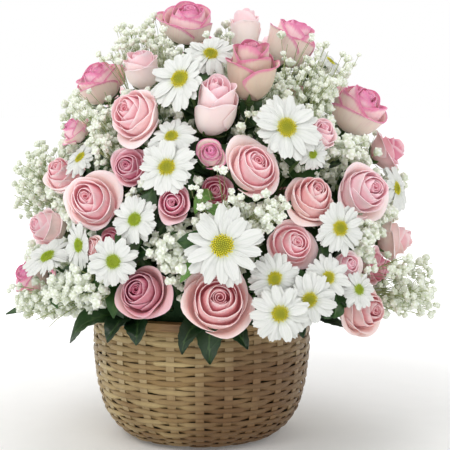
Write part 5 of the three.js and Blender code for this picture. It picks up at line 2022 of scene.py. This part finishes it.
@dataclass
class Liner:
    """The thin plastic cup inside the basket."""

    steps: int = 64

    def build(self, finishes: "Finishes") -> None:
        """Spins the cup with a rolled lip.

        Args:
            finishes: every material.
        """
        outside = [(64.0, 5.4), (76.0, 13), (91.0, 50), (93.6, 70), (93.6, 114.8), (93.2, 116), (92.5, 116)]
        inside = [(92.2, 114.8), (92.2, 70), (89.8, 50), (74.8, 13.4), (62.8, 6.6)]
        piece = spun("liner_cup", [(0.0, 5.4), *outside, *inside, (0.0, 6.6)], self.steps)
        smooth(piece, 40)
        settle(piece, [finishes.liner], "liner_plastic", "liner")


# ------------------------------------------------------------------ the other finishes
@dataclass(frozen=True)
class SplintFinish:
    """Split cane or bamboo: streaked along its length, stained unevenly, with painted shade towards the
    lower right and along the weavers' edges, and a dull varnish.
    """

    name: str
    pale: Colour
    tan: Colour
    brown: Colour
    gloss: float = 0.42

    def make(self) -> Material:
        """Builds the material from the splints' own lengths and widths."""
        g = Graph(self.name)
        along, across, tone, edge = g.attributes("along", "across", "tone", "edge")
        grain = g.spread(1.0, 4.0, g.vector(along * 46.0, across * 13.0, tone * 9.0), 0.65)
        fibre = g.spread(1.0, 3.0, g.vector(along * 30.0, across * 42.0, tone * 5.0), 0.6)
        stain = g.spread(26.0, 3.0)
        broad = g.spread(6.5, 1.0)
        knots = g.spread(1.0, 1.0, g.vector(along * 120.0, across * 2.0, tone * 7.0))
        colour = g.mix((grain * 0.7 + tone * 0.8 - 0.3).ramp(0.1, 0.85), self.tan, self.pale)
        # Painted shade: the brown deepens towards the right, the back and the bottom, mixed with the uneven
        # stain of the noises.
        shade = [g.place(), (1.5, 0.4, -1.0)]
        reach = g.node("ShaderNodeVectorMath", {"operation": "DOT_PRODUCT"}, shade, "Value")
        colour = g.mix((stain * 0.6 + broad * 0.9 + reach - 0.18).ramp(0.3, 0.75) * 0.85, colour, self.brown)
        colour = g.mix(fibre.ramp(0.52, 0.8) * 0.55, colour, self.brown)
        colour = g.mix(knots.ramp(0.68, 0.82) * 0.5, colour, (0.10, 0.045, 0.018))
        # Painted shade: the weavers darken towards their edges, where the rows meet.
        colour = g.mix(edge * 0.45, colour, (0.10, 0.05, 0.02))
        normal = g.bump(grain * 0.6 + fibre * 0.8, 0.00035, 0.8)
        return g.finish(Base_Color=colour, Roughness=self.gloss + (stain - 0.5) * 0.25, Normal=normal,
                        Specular_IOR_Level=0.4)


@dataclass(frozen=True)
class HoopFinish:
    """The rim's bands: bent cane with its grain along them."""

    name: str = "rim_cane"
    pale: Colour = (0.42, 0.27, 0.11)
    brown: Colour = (0.20, 0.10, 0.035)

    def make(self) -> Material:
        """Builds the material from object coordinates, stretched sideways."""
        g = Graph(self.name)
        mapped = g.node("ShaderNodeMapping", {}, {"Vector": g.place(), "Scale": (0.08, 0.08, 1.0)})
        grain = g.spread(900.0, 3.0, mapped)
        stain = g.spread(22.0, 3.0)
        colour = g.mix((grain * 0.7 + stain * 0.6 - 0.15).ramp(0.2, 0.8), self.brown, self.pale)
        return g.finish(Base_Color=colour, Roughness=0.45 + (stain - 0.5) * 0.2,
                        Normal=g.bump(grain, 0.0003, 0.7), Specular_IOR_Level=0.4)


@dataclass(frozen=True)
class FloretFinish:
    """Cream floret with painted greenish shade in its creases, greener towards its back and in patches, with
    a faint painted glow.
    """

    name: str
    white: Colour
    deep: Colour
    roughness: float = 0.55
    glow: float = 0.06

    def make(self) -> Material:
        """Builds the material."""
        g = Graph(self.name)
        mottle = g.spread(210.0, 2.0)
        crease, tone = g.attributes("crease", "tone")
        # Painted shade: the creases, and the back of each floret, take the deeper greenish colour.
        colour = g.mix((crease + (mottle - 0.5) * 0.3).ramp(0.35, 1.6), self.white, self.deep)
        colour = g.mix(tone * 0.10 + g.spread(11.0, 1.0).ramp(0.5, 0.7) * 0.3, colour, self.deep)
        # The emission is a painted glow of the deeper colour, which lifts florets that stand in shade.
        return g.finish(Base_Color=colour, Roughness=self.roughness + (mottle - 0.5) * 0.1,
                        Normal=g.bump(mottle, 0.0002, 0.5), Subsurface_Weight=0.15,
                        Subsurface_Radius=(1.0, 0.95, 0.7), Subsurface_Scale=0.0015, Specular_IOR_Level=0.3,
                        Emission_Color=self.deep, Emission_Strength=self.glow)


@dataclass(frozen=True)
class RayFinish:
    """White ray with fine long grooves, with painted grey-green shade in the grooves and at its foot."""

    name: str = "daisy_white"

    def make(self) -> Material:
        """Builds the material."""
        g = Graph(self.name)
        rise, across, tone = g.attributes("rise", "across", "tone")
        grooves = g.spread(1.0, 2.0, g.vector(across * 4.5 + tone * 20.0, rise * 0.8, tone * 9.0))
        # Painted shade: the grooves are darkened grey-green.
        colour = g.mix(grooves.ramp(0.45, 0.75) * 0.5, (0.78, 0.79, 0.76), (0.56, 0.61, 0.55))
        # Painted shade: the ray's foot, next to the disc, is darkened grey-green.
        colour = g.mix((1.0 - rise).ramp(0.60, 1.0) * 0.7, colour, (0.46, 0.53, 0.32))
        colour = g.mix(tone * 0.25, colour, (0.66, 0.69, 0.64))
        return g.finish(Base_Color=colour, Roughness=0.5 + (grooves - 0.5) * 0.1,
                        Normal=g.bump(grooves, 0.0004, 0.6), Subsurface_Weight=0.15,
                        Subsurface_Radius=(1.0, 1.0, 0.85), Subsurface_Scale=0.0015, Specular_IOR_Level=0.3)


@dataclass(frozen=True)
class DiscFinish:
    """The daisy's eye: olive green in the middle, golden round it, with painted shade down between its
    florets.
    """

    name: str = "daisy_eye"

    def make(self) -> Material:
        """Builds the material. `across` runs from the eye's middle to its edge."""
        g = Graph(self.name)
        across, rise, tone, lime, ring = g.attributes("across", "rise", "tone", "lime", "ring")
        colour = g.mix((across + (tone - 0.5) * 0.35).ramp(0.3, 0.8), (0.46, 0.48, 0.03), (0.78, 0.68, 0.03))
        colour = g.mix(tone.ramp(0.35, 1.0) * 0.35, colour, (0.32, 0.31, 0.01))
        colour = g.mix(lime * 0.8, colour, (0.33, 0.52, 0.03))
        # Painted shade: the florets' feet and the dome between them are darkened.
        colour = g.mix((1.0 - rise).ramp(0.3, 1.0) * 0.8, colour, (0.20, 0.20, 0.01))
        colour = g.mix(rise.ramp(0.85, 1.0) * 0.4, colour, (0.90, 0.84, 0.16))
        colour = g.mix((0.0 - ring).ramp(0.2, 0.9), colour, (0.16, 0.26, 0.07))
        mottle = g.spread(500.0, 2.0)
        return g.finish(Base_Color=colour, Roughness=0.6 + (mottle - 0.5) * 0.2,
                        Normal=g.bump(mottle, 0.0003, 0.6), Specular_IOR_Level=0.3)


@dataclass(frozen=True)
class MottledFinish:
    """A made surface with two mottled colours and fine pores."""

    name: str
    first: Colour
    second: Colour
    scale: float
    roughness: float
    depth: float

    def make(self) -> Material:
        """Builds the material from object coordinates."""
        g = Graph(self.name)
        pores = g.spread(self.scale, 4.0)
        broad = g.spread(self.scale / 14, 2.0)
        colour = g.mix((pores * 0.6 + broad * 0.6 - 0.1).ramp(0.25, 0.75), self.first, self.second)
        return g.finish(Base_Color=colour, Roughness=self.roughness + (broad - 0.5) * 0.15,
                        Normal=g.bump(pores, self.depth, 0.7))


@dataclass(frozen=True)
class FloorFinish:
    """A pale floor that brightens into the white behind it with distance."""

    name: str = "floor_pale"

    def make(self) -> Material:
        """Builds the material from object coordinates."""
        g = Graph(self.name)
        away = g.node("ShaderNodeVectorMath", {"operation": "LENGTH"}, [g.place()], "Value")
        grain = g.spread(40.0, 2.0)
        colour = g.mix(grain, (0.84, 0.84, 0.83), (0.88, 0.88, 0.87))
        glow = g.mix(away.ramp(0.18, 0.9), (0.10, 0.10, 0.10), (0.60, 0.60, 0.60))
        return g.finish(Base_Color=colour, Roughness=0.8 + grain * 0.1,
                        Emission_Color=glow, Emission_Strength=1.0)


class Finishes:
    """Every material, made once."""

    def __init__(self) -> None:
        """Makes them all."""
        self.petals = {tint: PETALS[tint].make() for tint in Tint}
        self.ray = RayFinish().make()
        self.disc = DiscFinish().make()
        self.floret = FloretFinish("breath_cream", (0.90, 0.92, 0.88), (0.56, 0.62, 0.42)).make()
        self.leaf = LEAF_GREEN.make()
        self.fresh = FRESH_GREEN.make()
        self.stem = STEM_GREEN.make()
        self.twig = TWIG_GREEN.make()
        self.weaver = SplintFinish(
            "weaver_cane", (0.58, 0.445, 0.21), (0.34, 0.22, 0.085), (0.145, 0.066, 0.022)).make()
        self.stake = SplintFinish(
            "stake_cane", (0.52, 0.41, 0.22), (0.36, 0.24, 0.10), (0.19, 0.095, 0.036)).make()
        self.rim = HoopFinish().make()
        self.liner = MottledFinish(
            "liner_dark", (0.012, 0.020, 0.010), (0.022, 0.034, 0.018), 300.0, 0.42, 0.0001).make()
        self.foam = MottledFinish(
            "foam_green", (0.020, 0.070, 0.025), (0.050, 0.120, 0.045), 900.0, 0.92, 0.0006).make()
        self.floor = FloorFinish().make()


# ------------------------------------------------------------------ studio
@dataclass
class Studio:
    """The camera at the photograph's angle, a pale floor and soft light."""

    pitch: float = -5.86
    focal_pixels: float = 1144.0
    photo_pixels: float = 450.0
    sensor: float = 36.0
    ambient: float = 0.62
    floor_size: float = 60.0
    floor_height: float = -0.0002

    def build(self, finishes: Finishes) -> None:
        """Adds camera, floor, lights and world.

        Args:
            finishes: every material.
        """
        self.camera()
        self.floor(finishes)
        self.light("key", (-0.85, -1.3, 1.65), 1.1, 15.0, (1.0, 0.99, 0.98))
        self.light("fill", (1.3, -1.2, 1.1), 1.4, 3.6)
        self.light("top", (0.1, 0.3, 1.7), 1.5, 7.0)
        self.light("back", (-0.5, 1.6, 1.1), 1.4, 6.0)
        self.world()
        bpy.context.scene.view_settings.view_transform = "Standard"

    def world(self) -> None:
        """Adds soft white light from all round, behind which the camera sees plain white."""
        world = bpy.data.worlds.new("studio")
        world.use_nodes = True
        tree = world.node_tree
        background = tree.nodes["Background"]
        background.inputs["Color"].default_value = (1.0, 1.0, 1.0, 1.0)
        seen = tree.nodes.new("ShaderNodeLightPath").outputs["Is Camera Ray"]
        strength = tree.nodes.new("ShaderNodeMapRange")
        tree.links.new(seen, strength.inputs["Value"])
        strength.inputs["To Min"].default_value = self.ambient
        tree.links.new(strength.outputs["Result"], background.inputs["Strength"])
        bpy.context.scene.world = world

    def camera(self) -> None:
        """Adds the camera."""
        data = bpy.data.cameras.new("camera")
        data.sensor_width = self.sensor
        data.lens = self.focal_pixels / self.photo_pixels * self.sensor
        camera = bpy.data.objects.new("camera", data)
        camera.location = CAMERA_PLACE
        camera.rotation_euler = (math.radians(90 + self.pitch), 0, 0)
        bpy.context.scene.collection.objects.link(camera)
        bpy.context.scene.camera = camera

    def floor(self, finishes: Finishes) -> None:
        """Adds the floor just under the basket.

        Args:
            finishes: every material.
        """
        bpy.ops.mesh.primitive_plane_add(size=self.floor_size, location=(0, 0, self.floor_height))
        floor = bpy.context.object
        floor.name = "floor"
        floor.data.materials.append(finishes.floor)

    def light(self, name: str, place: tuple[float, float, float], size: float, power: float,
              colour: Colour = (1.0, 1.0, 1.0)) -> None:
        """Adds a square soft light that looks at the flowers.

        Args:
            name: its name.
            place: where it hangs, in metres.
            size: its side, in metres.
            power: its strength, in watts.
            colour: its colour.
        """
        data = bpy.data.lights.new(name, "AREA")
        data.shape = "SQUARE"
        data.size = size
        data.energy = power
        data.color = colour
        lamp = bpy.data.objects.new(name, data)
        lamp.location = place
        aim = Vector((0, 0, 0.2)) - Vector(place)
        lamp.rotation_euler = aim.to_track_quat("-Z", "Y").to_euler()
        bpy.context.scene.collection.objects.link(lamp)


def dress_foam(finishes: Finishes) -> None:
    """Gives the foam block of the frame its finish."""
    block = bpy.data.objects["floral_foam"]
    block.data.materials.clear()
    block.data.materials.append(finishes.foam)


def main() -> None:
    """Builds every piece in order."""
    bpy.ops.object.select_all(action="DESELECT")
    finishes = Finishes()
    Studio().build(finishes)
    WovenBasket().build(finishes)
    Rim().build(finishes)
    Liner().build(finishes)
    dress_foam(finishes)
    dome = Dome(place_heads())
    dome.press_apart()
    dome.keep_inside()
    LOG.info("heads placed")
    stems = Stems(dome)
    stems.route_all()
    stems.build(finishes)
    Blooms(dome).build(finishes)
    BabysBreath(dome).build(finishes)
    Greenery(dome).build(finishes)


def corners(box: tuple[Vector, Vector]) -> list[list[float]]:
    """A box's two corners as plain lists."""
    return [[round(value, 5) for value in corner] for corner in box]


if __name__ == "__main__":
    logging.basicConfig(level=logging.INFO, format="%(message)s")
    main()
